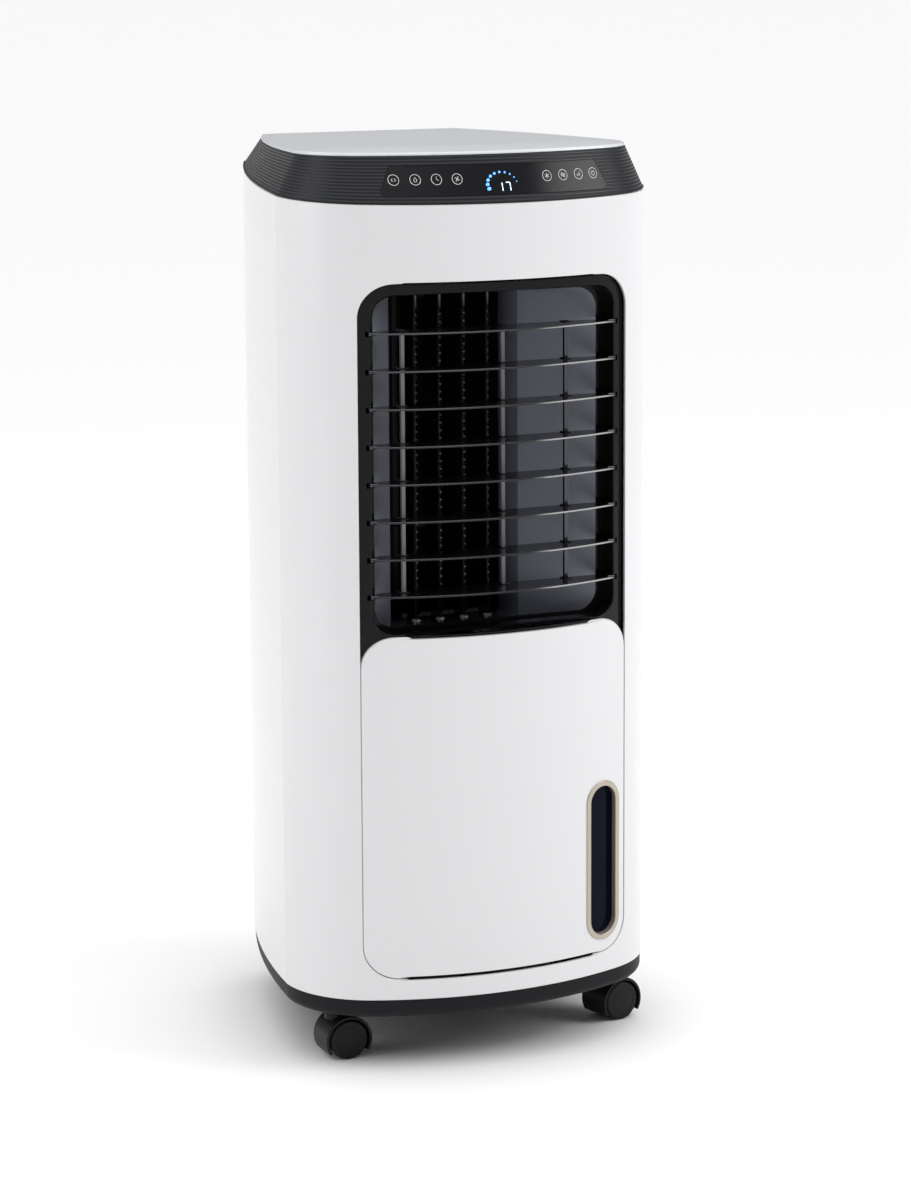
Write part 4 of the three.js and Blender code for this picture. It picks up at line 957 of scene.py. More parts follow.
# %% The digits and the arc of dots
DIGIT_HALF_HEIGHT = 0.0040
DIGIT_WIDTH = 0.0046
DIGIT_Z = 0.8700
DIGIT_LINE = 0.0010
SEGMENT = {
    "upper_right": ((1, 1.85), (1, 0.15)),
    "lower_right": ((1, -0.15), (1, -1.85)),
    "top": ((0.1, 2), (0.9, 2)),
}


def digit(x, names):
    """Lit segments of a seven-segment digit whose left edge is at x."""
    strokes = []
    for name in names:
        ends = []
        for u, v in SEGMENT[name]:
            ends.append(on_panel(x + u * DIGIT_WIDTH, DIGIT_Z + v * DIGIT_HALF_HEIGHT / 2, 0.0001))
        strokes.append((ends, False))
    return strokes


one = digit(-0.0062, ("upper_right", "lower_right"))
seven = digit(0.0022, ("upper_right", "lower_right", "top"))
digit_seed = strokes_mesh("digit_lines", one + seven)
digits = grown("panel_digits", digit_seed, bead_tree(PALE_BLUE, 6), {"Width": DIGIT_LINE})
done(digits, PALE_BLUE, "display_blue", "cabinet")

DOTS = {"Count": 10, "Large": 0.0021, "Small": 0.0006}
tree, size = new_tree("shrinking_dots", DOTS)
index = Field(tree, make(tree, "GeometryNodeInputIndex").outputs[0])
radius = size["Large"] + (size["Small"] - size["Large"]) * (index / (size["Count"] - 1))
ball = make(tree, "GeometryNodeMeshUVSphere", {"Segments": 16, "Rings": 8, "Radius": 1.0}).outputs[0]
inputs = {"Points": size["Geometry"], "Instance": ball, "Scale": vector_of(tree, radius, 0.00045, radius)}
end_tree(tree, make(tree, "GeometryNodeInstanceOnPoints", inputs).outputs[0], BLUE)
DOT_ARC = {"x": -0.001, "z": 0.8722, "half width": 0.0155, "height": 0.0115}
dot_points = []
for share in (i / (DOTS["Count"] - 1) for i in range(DOTS["Count"])):
    angle = math.radians(200 - 188 * share)
    dot_x = DOT_ARC["x"] + DOT_ARC["half width"] * math.cos(angle)
    dot_points.append(on_panel(dot_x, DOT_ARC["z"] + DOT_ARC["height"] * math.sin(angle)))
dots = grown("panel_dots", line_mesh("dot_places", dot_points), tree, DOTS)
done(dots, BLUE, "display_blue", "cabinet")
print("dots:", len(dot_points), "faces:", len(dots.data.polygons))

# %% [markdown]
# ## Lid
# The lid is white plastic with a bright rounded edge and a very slight crown, so that water runs off it.
# Its colour is painted a little greyer and bluer than the shell's, as shade on its top. It is one more
# stack of outlines, with a quarter round at the rim and an arc to the middle.

# %% The lid
LID_LOW, LID_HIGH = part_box("top_lid")
LID_SEAT = BAND_TOP_Z + GAP
LID_EDGE = 0.003
LID_RIM = BAND_INSET + GAP
LID_ROUND = 0.0024
LID_SHOULDER = BAND_INSET + 2 * WALL + 0.0005
CROWN_RUN = 0.06
CROWN = LID_HIGH.z - LID_SEAT - LID_EDGE
rings = [level_ring(LID_SHOULDER, LID_LOW.z), level_ring(LID_SHOULDER, LID_SEAT)]
rings.append(level_ring(LID_RIM + 0.0004, LID_SEAT))
rings.append(level_ring(LID_RIM, LID_SEAT + 0.0004))
rings += [level_ring(LID_RIM + i, LID_SEAT + LID_EDGE - r) for i, r in reversed(quarter(LID_ROUND, 6))]
for share in (step / 12 for step in range(1, 13)):
    rise = CROWN * math.sin(share * math.pi / 2)
    rings.append(level_ring(LID_RIM + LID_ROUND + CROWN_RUN * share, LID_SEAT + LID_EDGE + rise))
lid = new_piece("lid", stacked(rings))
smoothed(lid, angle=45)
done(lid, LID_SHADED_WHITE, "white_shell", "cabinet", "top_lid")
print("lid top:", round(LID_HIGH.z, 4))

# %% [markdown]
# ## Door panel and level window
# The door below the outlet lies flush with the shell, with a soft rounded edge and a dark gap line
# round it. Its slot window has a champagne bezel that stands slightly proud, and a dark lens set
# back inside. All three are kept out of bowed slabs by tools that follow the bow.

# %% Door, bezel and lens
x0, x1, z0, z1 = span("lower_front_panel")
SLAB_HALF = 0.150
SPARE = 0.01
HAIR = 1e-5
TOOL_BACK = -0.05
PANEL_THICK = 0.0044
DOOR_CORNER = 0.0325
DOOR_EDGE = 0.0020
WINDOW_COLUMNS = 160
door_panel = bowed_slab("door_panel", SLAB_HALF, z0 - SPARE, z1 + SPARE, 0.0, PANEL_THICK)
door_shape = plate_tool("door_shape", (x0, x1, z0, z1, DOOR_CORNER), 0.0, DOOR_EDGE, TOOL_BACK)
combine(door_panel, "INTERSECT", door_shape)
wx0, wx1, wz0, wz1 = span("window_bezel")
RIM_WIDTH = 0.0055
RIM_PROUD = 0.00125
RIM_EDGE = 0.0010
RIM_OVERLAP = 0.0028
SLEEVE_DEPTH = 0.0090
LENS_DEPTH = 0.006
LENS_THICK = 0.0015
SLEEVE = (wx0 + RIM_OVERLAP, wx1 - RIM_OVERLAP, wz0 + RIM_OVERLAP, wz1 - RIM_OVERLAP)
sleeve_radius = (SLEEVE[1] - SLEEVE[0]) / 2 - HAIR
window_hole = mouth_tool("window_hole", (*SLEEVE, sleeve_radius), 0.0, 0.0004, TOOL_BACK)
combine(door_panel, "DIFFERENCE", window_hole)
smoothed(door_panel)
done(door_panel, WHITE, "white_shell", "cabinet", "lower_front_panel")

rim_radius = (wx1 - wx0) / 2 - HAIR
clear = (wx0 + RIM_WIDTH, wx1 - RIM_WIDTH, wz0 + RIM_WIDTH, wz1 - RIM_WIDTH)
clear_radius = (clear[1] - clear[0]) / 2 - HAIR
low, high = wz0 - SPARE, wz1 + SPARE
bezel = bowed_slab("window_rim", SLAB_HALF, low, high, -RIM_PROUD, -0.0001, WINDOW_COLUMNS)
rim_shape = plate_tool("rim_shape", (wx0, wx1, wz0, wz1, rim_radius), -RIM_PROUD, RIM_EDGE, TOOL_BACK)
combine(bezel, "INTERSECT", rim_shape)
inner_sleeve = bowed_slab("sleeve", SLAB_HALF, low, high, -0.0005, SLEEVE_DEPTH, WINDOW_COLUMNS)
sleeve_box = tuple(v + s * GAP for v, s in zip(SLEEVE, (1, -1, 1, -1)))
sleeve_shape = plate_tool("sleeve_shape", (*sleeve_box, sleeve_radius - GAP), -0.0005, 0.0001, TOOL_BACK)
combine(inner_sleeve, "INTERSECT", sleeve_shape)
combine(bezel, "UNION", inner_sleeve)
clear_hole = mouth_tool("clear_hole", (*clear, clear_radius), -RIM_PROUD, 0.0011, TOOL_BACK)
combine(bezel, "DIFFERENCE", clear_hole)
smoothed(bezel)
done(bezel, CHAMPAGNE, "champagne_trim", "cabinet", "window_bezel")

lens_back = LENS_DEPTH + LENS_THICK
lens = bowed_slab("level_lens", SLAB_HALF, low, high, LENS_DEPTH, lens_back, WINDOW_COLUMNS)
lens_box = tuple(v + s * GAP for v, s in zip(clear, (1, -1, 1, -1)))
lens_shape = plate_tool("lens_shape", (*lens_box, clear_radius - GAP), LENS_DEPTH, 0.0002, TOOL_BACK)
combine(lens, "INTERSECT", lens_shape)
smoothed(lens)
done(lens, NAVY, "navy_lens", "cabinet", "window_lens")
print("door faces:", len(door_panel.data.polygons), "bezel faces:", len(bezel.data.polygons))

# %% [markdown]
# ## Outlet surround
# The glossy black surround is set back in the bay. Its rim turns in with a small round edge, and its
# straight walls run back to the duct. It is a bowed plate joined to a short tube, with the mouth cut
# through both and pin holes for the louvres.

# %% Outlet surround
OUTLET = (-0.1287, 0.1287, 0.4388, 0.7683, 0.020)
OUTLET_LIP = 0.0023
RIM_ROUND = 0.0020
FACE_DEPTH = 0.005
FACE_CORNER = 0.0325
PIN_HOLE = 0.0028
PIN_HOLE_END = 0.134
WELL_BACK = FRONT_Y + 0.0495
x0, x1, z0, z1 = span("outlet_surround")
low, high = z0 - 2 * SPARE, z1 + SPARE
surround = bowed_slab("surround", SLAB_HALF, low, high, FACE_DEPTH, FACE_DEPTH + WALL)
face_shape = plate_tool("face_shape", (x0, x1, z0 - 0.04, z1, FACE_CORNER), FACE_DEPTH, 0.0008, 0.0)
combine(surround, "INTERSECT", face_shape)
combine(surround, "INTERSECT", block("flange", (-1, -1, z0), (1, 1, 1)))
well_start = FACE_DEPTH + 0.001
well_rings = [bowed_ring(*OUTLET, OUTLET_LIP, well_start), flat_ring(*OUTLET, OUTLET_LIP, WELL_BACK)]
well_rings += [flat_ring(*OUTLET, 0, WELL_BACK), bowed_ring(*OUTLET, 0, well_start)]
well = new_piece("well", stacked(well_rings, closed=True))
combine(surround, "DIFFERENCE", mouth_tool("mouth_core", OUTLET, FACE_DEPTH, 0.0001, 0.0))
combine(surround, "UNION", well)
combine(surround, "DIFFERENCE", mouth_tool("mouth", OUTLET, FACE_DEPTH, RIM_ROUND, WELL_BACK + 0.02))
pin_holes = []
for name, joint in joints.items():
    if name.startswith("louvre_") and name.endswith("_tilt"):
        _, y, z = joint["pos_m"]
        pin_holes.append(cylinder("pin_hole", (-PIN_HOLE_END, y, z), (PIN_HOLE_END, y, z), PIN_HOLE))
combine(surround, "DIFFERENCE", *pin_holes)
smoothed(surround)
done(surround, BLACK_GLOSS, "black_gloss", "cabinet", "outlet_surround")
print("surround faces:", len(surround.data.polygons))

# %% [markdown]
# ## Duct
# Behind the louvres a funnel narrows to the throat where the air comes from. Its flange shows as a thin
# black step inside the outlet, and its long right wall catches the light. The rest of the funnel is given a
# light blue-grey, which is painted light on the black duct. It is one closed stack: over the flange, down
# the inside to the throat's end, and back along the outside. The step's faces take the surround's black, so
# that the two read as one rim.

# %% The funnel
FUNNEL_LEDGE = 0.0097
MOUTH = (OUTLET[0] + FUNNEL_LEDGE, OUTLET[1] - FUNNEL_LEDGE, OUTLET[2] + 0.0023, OUTLET[3] - 0.0037)
THROAT = (-0.070, 0.070, 0.419, 0.7605)
MOUTH_CORNER, THROAT_CORNER = 0.020, 0.005
FLANGE_Y = WELL_BACK + GAP
THROAT_FRONT = FRONT_Y + 0.130
THROAT_REAR = FRONT_Y + 0.178
DUCT_WALL = 0.002
LEDGE_DEPTH = 0.0008
inside = [
    flat_ring(*MOUTH, MOUTH_CORNER, 0.0008, FLANGE_Y),
    flat_ring(*MOUTH, MOUTH_CORNER, 0.0002, FLANGE_Y + 0.0003),
    flat_ring(*MOUTH, MOUTH_CORNER, 0, FLANGE_Y + 0.0010),
    flat_ring(*THROAT, THROAT_CORNER, 0, THROAT_FRONT),
    flat_ring(*THROAT, THROAT_CORNER, 0, THROAT_REAR),
]
outside = [
    flat_ring(*THROAT, THROAT_CORNER, DUCT_WALL, THROAT_REAR),
    flat_ring(*THROAT, THROAT_CORNER, DUCT_WALL, THROAT_FRONT),
    flat_ring(*MOUTH, MOUTH_CORNER, DUCT_WALL, FLANGE_Y + DUCT_WALL),
    flat_ring(*OUTLET, OUTLET_LIP, FLANGE_Y + DUCT_WALL),
    flat_ring(*OUTLET, OUTLET_LIP, FLANGE_Y),
]
duct = new_piece("duct", stacked(inside + outside, closed=True))
smoothed(duct, angle=25)
# The funnel's light blue-grey finish is painted light.
done(duct, DUCT_PAINTED_LIGHT, "black_gloss", "cabinet", "air_duct")
duct.data.materials.append(BLACK_GLOSS)
for polygon in duct.data.polygons:
    if polygon.center.y < FLANGE_Y + LEDGE_DEPTH:
        polygon.material_index = 1

# %% [markdown]
# ## Louvres
# The eight louvres are the same bowed blade: the front edge follows the cabinet's bow and is
# narrow and leans back a little, so that it catches the light, and the rear edge is straight. A
# blade is a row of cross-sections, each as deep as the bow makes it there. Pins at the ends turn in
# the surround, and collared slots let the tie bars through with room for the tilt.

# %% The louvres
BLADE_HALF = 0.1277
BLADE_SETBACK = 0.0035
BLADE_BACK = FRONT_Y + 0.048
BLADE_THICK = 0.0018
NOSE = [(0.72, 1.0), (0.5, 0.97), (0.37, 0.8), (0.06, -0.7), (0.09, -0.9), (0.28, -1.0)]
PIN_RADIUS = 0.0023
PIN_END = 0.1308
BAR_Y = FRONT_Y + 0.0425
SLOT_X, SLOT_Y = 0.0025, 0.0042
COLLAR_WALL = 0.0012
COLLAR_RISE = 0.0016
BARS = {"left": -0.092, "centre": 0.014, "right": 0.082}
louvre_places = {}
for name, joint in joints.items():
    if name.startswith("louvre_") and name.endswith("_tilt"):
        louvre_places[joint["child"]] = Vector(joint["pos_m"])
pivot = louvre_places["louvre_1"]


def blade_section(x, z):
    """A cross-section of the blade at x: a nose that leans back, and a thin straight tail."""
    nose = bow(x, BLADE_SETBACK)
    half = BLADE_THICK / 2
    points = [(x, nose + back * BLADE_THICK, z + rise * half) for back, rise in NOSE]
    tail = half * 0.7
    for back, rise in ((0.0004, -1), (0, -0.5), (0, 0.5), (0.0004, 1)):
        points.append((x, BLADE_BACK - back, z + rise * tail))
    return points


def around_bar(name, x, z, half_x, half_y, half_z):
    """A block centred on a tie bar at a louvre's height."""
    low = (x - half_x, BAR_Y - half_y, z - half_z)
    high = (x + half_x, BAR_Y + half_y, z + half_z)
    return block(name, low, high)


def louvre(name, z):
    stations = [BLADE_HALF * (2 * i / 56 - 1) for i in range(57)]
    blade = new_piece(name, stacked([blade_section(x, z) for x in stations]))
    slots = [around_bar("slot", x, z, SLOT_X, SLOT_Y, 0.005) for x in BARS.values()]
    combine(blade, "DIFFERENCE", *slots)
    pins = []
    for side in (-1, 1):
        inner, outer = side * (BLADE_HALF - 0.004), side * PIN_END
        pins.append(cylinder("pin", (inner, pivot.y, z), (outer, pivot.y, z), PIN_RADIUS, 16))
    for x in BARS.values():
        collar = around_bar("collar", x, z, SLOT_X + COLLAR_WALL, SLOT_Y + COLLAR_WALL, COLLAR_RISE)
        pins.append(combine(collar, "DIFFERENCE", around_bar("hole", x, z, SLOT_X, SLOT_Y, 0.005)))
    combine(blade, "UNION", *pins)
    return smoothed(blade, angle=35)


first = louvre("louvre_blade_1", pivot.z)
for name, place in louvre_places.items():
    blade = first
    if name != "louvre_1":
        step = Matrix.Translation((0, 0, place.z - pivot.z))
        blade = copied("louvre_blade_" + name[-1], first, step)
    done(blade, BLACK_BLADE, "black_gloss", name, name)
print("louvre faces:", len(first.data.polygons), "on", len(louvre_places), "blades")

# %% [markdown]
# ## Copies of the plain pieces
# A piece whose shape is already right only needs what a mould or a lathe gives it: its triangles
# merged back into faces, and its sharp edges eased. A merged copy gets both, and the frame's own
# mesh isn't touched. The tie bars are also trimmed level with the outer louvres.

# %% Eased copies


def eased(node, material, slot, body, bevel, angle=35, segments=2, keep=None):
    """A merged, bevelled copy that stands for a frame node. keep is a block it is trimmed to."""
    bm = bmesh.new()
    bm.from_mesh(frame["nodes"][node].data)
    bmesh.ops.remove_doubles(bm, verts=bm.verts, dist=1e-6)
    bmesh.ops.dissolve_limit(bm, angle_limit=math.radians(0.5), verts=bm.verts, edges=bm.edges)
    piece = new_piece(node + "_eased", bm)
    if keep:
        combine(piece, "INTERSECT", keep)
    smoothed(piece, bevel=bevel, angle=angle, segments=segments)
    return done(piece, material, slot, body, node)


BAR_END = 0.0012
bar_heights = [place.z for place in louvre_places.values()]
# The three tie bars are the same grey part. The right one is given the blades' black, which is painted
# shade.
for side, material in (("left", GREY), ("centre", GREY), ("right", BLACK_BLADE)):
    reach = block("reach", (-1, -1, min(bar_heights) - BAR_END), (1, 1, max(bar_heights) + BAR_END))
    eased(f"louvre_link_{side}", material, "grey_plastic", "louvre_links", 0.0005, keep=reach)
eased("swing_vane_link", GREY, "grey_plastic", "swing_vane_link", 0.0005)
eased("swing_motor", STEEL, "steel", "cabinet", 0.0006)
eased("fan_housing", HOUSING_BLACK, "black_gloss", "cabinet", 0.0004)
eased("fan_motor", STEEL, "steel", "cabinet", 0.0008)
eased("tank_bay_shelf", WHITE, "white_shell", "cabinet", 0.0004)
eased("water_trough", WHITE, "white_shell", "cabinet", 0.0006)
eased("ioniser_module", GREY, "grey_plastic", "cabinet", 0.0008)
eased("water_pump", BLACK_SATIN, "black_satin", "water_tank", 0.0010)
eased("cord_gland", BLACK_SATIN, "black_satin", "cabinet", 0.0008)
eased("tank_latch", WHITE, "white_shell", "tank_latch", 0.0006)
eased("control_board", BOARD, "circuit_board", "cabinet", 0.0002)
eased("water_tank", TANK, "tank_plastic", "water_tank", 0.0016, segments=3)
for key in CASTERS:
    eased(f"caster_{key}_axle", STEEL, "steel", f"caster_{key}", 0.0003)
for i in range(1, 5):
    eased(f"swing_vane_{i}", BLACK_BLADE, "black_gloss", f"swing_vane_{i}", 0.0007)

# %% [markdown]
# ## Turned parts
# Wheels, discs and caps are bodies of revolution. A profile of radius and height pairs is turned
# about an axis, which closes the poles with a fan of triangles and leaves no seam.

# %% Turning a profile


def turned(name, profile, base, axis, segments=56):
    """Turns (radius, height) pairs about an axis; the ends of the profile lie on it."""
    bm = bmesh.new()
    rows = []
    for radius, height in profile:
        if radius == 0:
            rows.append([bm.verts.new((0, 0, height))])
        else:
            circle = arc(0, 0, radius, 0, 2 * math.pi, segments)[:-1]
            rows.append([bm.verts.new((x, y, height)) for x, y in circle])
    for low, high in zip(rows, rows[1:]):
        for i in range(segments):
            j = (i + 1) % segments
            corners = [low[i % len(low)], low[j % len(low)], high[j % len(high)], high[i % len(high)]]
            bm.faces.new(list(dict.fromkeys(corners)))
    bmesh.ops.recalc_face_normals(bm, faces=bm.faces)
    turn = Vector(axis).to_track_quat("Z", "Y").to_matrix().to_4x4()
    bm.transform(Matrix.Translation(Vector(base)) @ turn)
    return new_piece(name, bm)


CAP = [
    (0, 0.0), (0.0030, 0.0), (0.0030, 0.0052), (0.0044, 0.0056), (0.0048, 0.0062), (0.0047, 0.0070),
    (0.0038, 0.0080), (0.0018, 0.0085), (0, 0.0086),
]
for i in range(1, 5):
    x, y, _ = joints[f"swing_vane_{i}_turn"]["pos_m"]
    cap = turned(f"vane_cap_{i}", CAP, (x, y, THROAT[2] + 0.0004), (0, 0, 1), 28)
    smoothed(cap, angle=60)
    done(cap, CAP_ZINC, "steel", f"swing_vane_{i}")
print("vane caps at z", round(THROAT[2], 4))

# %% [markdown]
# ## Teeth on the swing vanes
# A row of small pointed teeth runs up the front edge of each vane and breaks the air up. The tooth
# is a flat triangle made once, and a tree repeats it up the edge at an even pitch.

# %% The vane teeth
TOOTH_PITCH = 0.0078
TOOTH_REACH = 0.0070
TOOTH_HALF_THICK = 0.0006
TEETH_FOOT = THROAT[2] + 0.016
TEETH = {"Count": int((THROAT[3] - 0.008 - TEETH_FOOT) / TOOTH_PITCH), "Pitch": TOOTH_PITCH}
tree, size = new_tree("tooth_row", TEETH)
column = {"Count": size["Count"], "Offset": vector_of(tree, 0.0, 0.0, size["Pitch"])}
rungs = make(tree, "GeometryNodeMeshLine", column).outputs[0]
inputs = {"Points": rungs, "Instance": size["Geometry"]}
end_tree(tree, make(tree, "GeometryNodeInstanceOnPoints", inputs).outputs[0], BLACK_BLADE, smooth=False)
for i in range(1, 5):
    x, _, _ = joints[f"swing_vane_{i}_turn"]["pos_m"]
    edge_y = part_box(f"swing_vane_{i}")[0].y + 0.0006
    half_foot = 0.47 * TOOTH_PITCH
    triangle = [(edge_y, -half_foot), (edge_y - TOOTH_REACH, 0), (edge_y, half_foot)]
    faces = []
    for side in (-TOOTH_HALF_THICK, TOOTH_HALF_THICK):
        faces.append([(x + side, y, TEETH_FOOT + z) for y, z in triangle])
    tooth = new_piece("tooth", stacked(faces))
    teeth = grown(f"vane_teeth_{i}", tooth.data, tree, TEETH)
    done(teeth, BLACK_BLADE, "black_gloss", f"swing_vane_{i}")
print("teeth on each vane:", TEETH["Count"])

# %% [markdown]
# ## Casters
# Each caster is a bought part: a curved hood over two wheels with slightly domed discs, on a stem
# that turns. The hood is a section swept round the axle and joined to its middle web and collar.
# It is made once, with its axle along Y, and set down at each caster's own place and turn.

# %% Hoods and wheels
WHEEL_RADIUS = joints["caster_fl_roll_outer"]["pos_m"][2]
HOOD_OUTER = WHEEL_RADIUS + 0.0045
HOOD_INNER = WHEEL_RADIUS + 0.0017
HOOD_HALF = 0.019
HOOD_ROUND = 0.0014
WEB_HALF = 0.0035
TRAIL = 0.009
COLLAR_RADIUS = 0.010
STEM_RADIUS = 0.005
AXLE_BORE = 0.0033
HOOD_START, HOOD_STOP = math.radians(-32), math.radians(212)
WHEEL_PROFILE = [
    (0, 0.0185), (0.0060, 0.01845), (0.0122, 0.0183), (0.0128, 0.0178), (0.0137, 0.0178),
    (0.0143, 0.0182), (0.0178, 0.0181), (0.0190, 0.0177), (0.0197, 0.0169), (0.0200, 0.0157),
    (0.0200, 0.0053), (0.0197, 0.0044), (0.0188, 0.0040), (0.0034, 0.0040), (0.0034, 0.0130),
    (0, 0.0130),
]


def hood_section(angle):
    """The hood's section at an angle round the axle, with round outer corners."""
    edge = [(HOOD_OUTER - inset, HOOD_HALF - rise) for inset, rise in quarter(HOOD_ROUND)]
    right = [(HOOD_INNER, HOOD_HALF)] + edge
    loop = right + [(r, -y) for r, y in reversed(right)]
    return [(r * math.cos(angle), y, r * math.sin(angle)) for r, y in loop]


def web_ring(y):
    points = arc(0, 0, HOOD_OUTER - 0.0006, HOOD_START, HOOD_STOP, 40)
    return [(x, y, z) for x, z in points]


steps = 44
turns = [HOOD_START + (HOOD_STOP - HOOD_START) * i / steps for i in range(steps + 1)]
hood = new_piece("hood", stacked([hood_section(a) for a in turns]))
web = new_piece("web", stacked([web_ring(-WEB_HALF), web_ring(WEB_HALF)]))
collar_top = BASE_LOW.z - WHEEL_RADIUS - 0.0005
collar = cylinder("collar", (-TRAIL, 0, HOOD_INNER - 0.002), (-TRAIL, 0, collar_top), COLLAR_RADIUS, 40)
stem_top = BASE_TOP + 0.0057 - WHEEL_RADIUS
stem = cylinder("stem", (-TRAIL, 0, collar_top - 0.001), (-TRAIL, 0, stem_top), STEM_RADIUS, 32)
combine(collar, "DIFFERENCE", cylinder("room", (0, -0.02, 0), (0, 0.02, 0), HOOD_INNER, 64))
combine(hood, "UNION", web, collar, stem)
combine(hood, "DIFFERENCE", cylinder("bore", (0, -0.02, 0), (0, 0.02, 0), AXLE_BORE, 32))
smoothed(hood, bevel=0.0004, angle=40)
for key in CASTERS:
    roll = joints[f"caster_{key}_roll_outer"]
    axle = Vector(roll["pos_m"])
    axis = Vector(roll["axis"])
    turn = math.atan2(-axis.x, axis.y)
    placed = copied(f"hood_{key}", hood, Matrix.Translation(axle) @ Matrix.Rotation(turn, 4, "Z"))
    done(placed, BLACK_SATIN, "black_satin", f"caster_{key}", f"caster_{key}_hood")
    for side, sign in (("outer", -1), ("inner", 1)):
        wheel = turned(f"wheel_{key}_{side}", WHEEL_PROFILE, axle, axis * sign)
        smoothed(wheel, angle=50)
        name = f"caster_{key}_wheel_{side}"
        done(wheel, BLACK_SATIN, "black_satin", name, name)
bpy.data.objects.remove(hood)
print("wheel radius:", round(WHEEL_RADIUS, 4))

# %% [markdown]
# ## Rear grille and dust filter
# Air enters through the hinged grille: a frame with a middle bar and tilted slats, and behind it a
# fine woven filter. The slats are one slat repeated by a tree at an even pitch, so their number and
# tilt are two inputs, and the filter's wires are beads on a grid of lines.

# %% The grille's frame and slats
GRILLE_LOW, GRILLE_HIGH = GRILLE
GRILLE_FRAME = 0.010
GRILLE_SIDE = 0.0065
GRILLE_ROUND = 0.0010
outer = (GRILLE_LOW.x, GRILLE_HIGH.x, GRILLE_LOW.z, GRILLE_HIGH.z, 0.003)
inner = (GRILLE_LOW.x + GRILLE_SIDE, GRILLE_HIGH.x - GRILLE_SIDE, GRILLE_LOW.z + GRILLE_FRAME,
         GRILLE_HIGH.z - GRILLE_FRAME, 0.002)
rings = [flat_ring(*outer, -inset, GRILLE_HIGH.y - rise) for inset, rise in quarter(GRILLE_ROUND)]
rings += [flat_ring(*outer, 0, GRILLE_LOW.y), flat_ring(*inner, 0, GRILLE_LOW.y)]
rings += [flat_ring(*inner, inset, GRILLE_HIGH.y - rise) for inset, rise in reversed(quarter(GRILLE_ROUND))]
grille_frame = new_piece("grille_frame", stacked(rings, closed=True))
bar_low = (-GRILLE_SIDE, GRILLE_LOW.y, inner[2] - 0.002)
bar_high = (GRILLE_SIDE, GRILLE_HIGH.y - 0.0004, inner[3] + 0.002)
combine(grille_frame, "UNION", block("middle_bar", bar_low, bar_high))
smoothed(grille_frame, angle=50)
done(grille_frame, WHITE, "white_shell", "rear_grille", "rear_grille")

SLAT_COUNT = 23
slat_pitch = (inner[3] - inner[2]) / (SLAT_COUNT + 1)
SLATS = {
    "Count": SLAT_COUNT,
    "Pitch": slat_pitch,
    "Length": inner[1] - inner[0] + 0.002,
    "Chord": 0.0086,
    "Thickness": 0.0016,
    "Tilt": math.radians(42),
    "First": inner[2] + slat_pitch,
    "Depth": (GRILLE_LOW.y + GRILLE_HIGH.y) / 2,
}
tree, size = new_tree("slat_ladder", SLATS)
ladder = {
    "Count": size["Count"],
    "Start Location": vector_of(tree, 0.0, size["Depth"], size["First"]),
    "Offset": vector_of(tree, 0.0, 0.0, size["Pitch"]),
}
rungs = make(tree, "GeometryNodeMeshLine", ladder).outputs[0]
slat_size = vector_of(tree, size["Length"], size["Thickness"], size["Chord"])
slat = make(tree, "GeometryNodeMeshCube", {"Size": slat_size}).outputs[0]
tilted = {"Geometry": slat, "Rotation": vector_of(tree, size["Tilt"], 0.0, 0.0)}
turned_slat = make(tree, "GeometryNodeTransform", tilted).outputs[0]
inputs = {"Points": rungs, "Instance": turned_slat}
end_tree(tree, make(tree, "GeometryNodeInstanceOnPoints", inputs).outputs[0], WHITE)
slats = grown("grille_slats", line_mesh("slat_seed", [(0, 0, 0), (0, 0, 0.01)]), tree, SLATS)
smoothed(slats, bevel=0.0006, angle=40)
done(slats, WHITE, "white_shell", "rear_grille")
print("slats:", SLATS["Count"], "faces:", len(slats.data.polygons))

# %% The dust filter
FILTER_LOW, FILTER_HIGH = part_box("dust_filter")
FILTER_PITCH = 0.0028
FILTER_WIRE = 0.0005
filter_y = (FILTER_LOW.y + FILTER_HIGH.y) / 2
columns = int((FILTER_HIGH.x - FILTER_LOW.x) / FILTER_PITCH)
rows = int((FILTER_HIGH.z - FILTER_LOW.z) / FILTER_PITCH)
wires = []
for i in range(columns + 1):
    x = FILTER_LOW.x + (FILTER_HIGH.x - FILTER_LOW.x) * i / columns
    wires.append(([(x, filter_y, FILTER_LOW.z), (x, filter_y, FILTER_HIGH.z)], False))
for i in range(rows + 1):
    z = FILTER_LOW.z + (FILTER_HIGH.z - FILTER_LOW.z) * i / rows
    y = filter_y + FILTER_WIRE
    wires.append(([(FILTER_LOW.x, y, z), (FILTER_HIGH.x, y, z)], False))
wire_seed = strokes_mesh("filter_lines", wires)
weave = grown("filter_weave", wire_seed, bead_tree(MESH, 4), {"Width": FILTER_WIRE})
done(weave, MESH, "filter_mesh", "rear_grille", "dust_filter")
print("filter wires:", len(wires))

# %% [markdown]
# ## Cooling pad
# The wet pad behind the filter is a block of open cells that air is drawn through. One six-sided
# cell is the seed, and a tree repeats it on a grid whose odd rows are shifted by half a cell.

# %% The pad's cells
PAD_LOW, PAD_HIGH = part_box("cooling_pad")
CELL = 0.0047
CELL_WALL = 0.0006
cell_width = CELL * math.sqrt(3)
PAD_GRID = {
    "Columns": int((PAD_HIGH.x - PAD_LOW.x - cell_width / 2) / cell_width),
    "Rows": int((PAD_HIGH.z - PAD_LOW.z - CELL / 2) / (1.5 * CELL)),
    "Step across": cell_width,
    "Step up": 1.5 * CELL,
    "Middle across": (PAD_LOW.x + PAD_HIGH.x) / 2 - cell_width / 4,
    "Middle up": (PAD_LOW.z + PAD_HIGH.z) / 2,
}


def hexagon(radius, y):
    angles = [math.radians(30 + 60 * i) for i in range(6)]
    return [(radius * math.cos(a), y, radius * math.sin(a)) for a in angles]


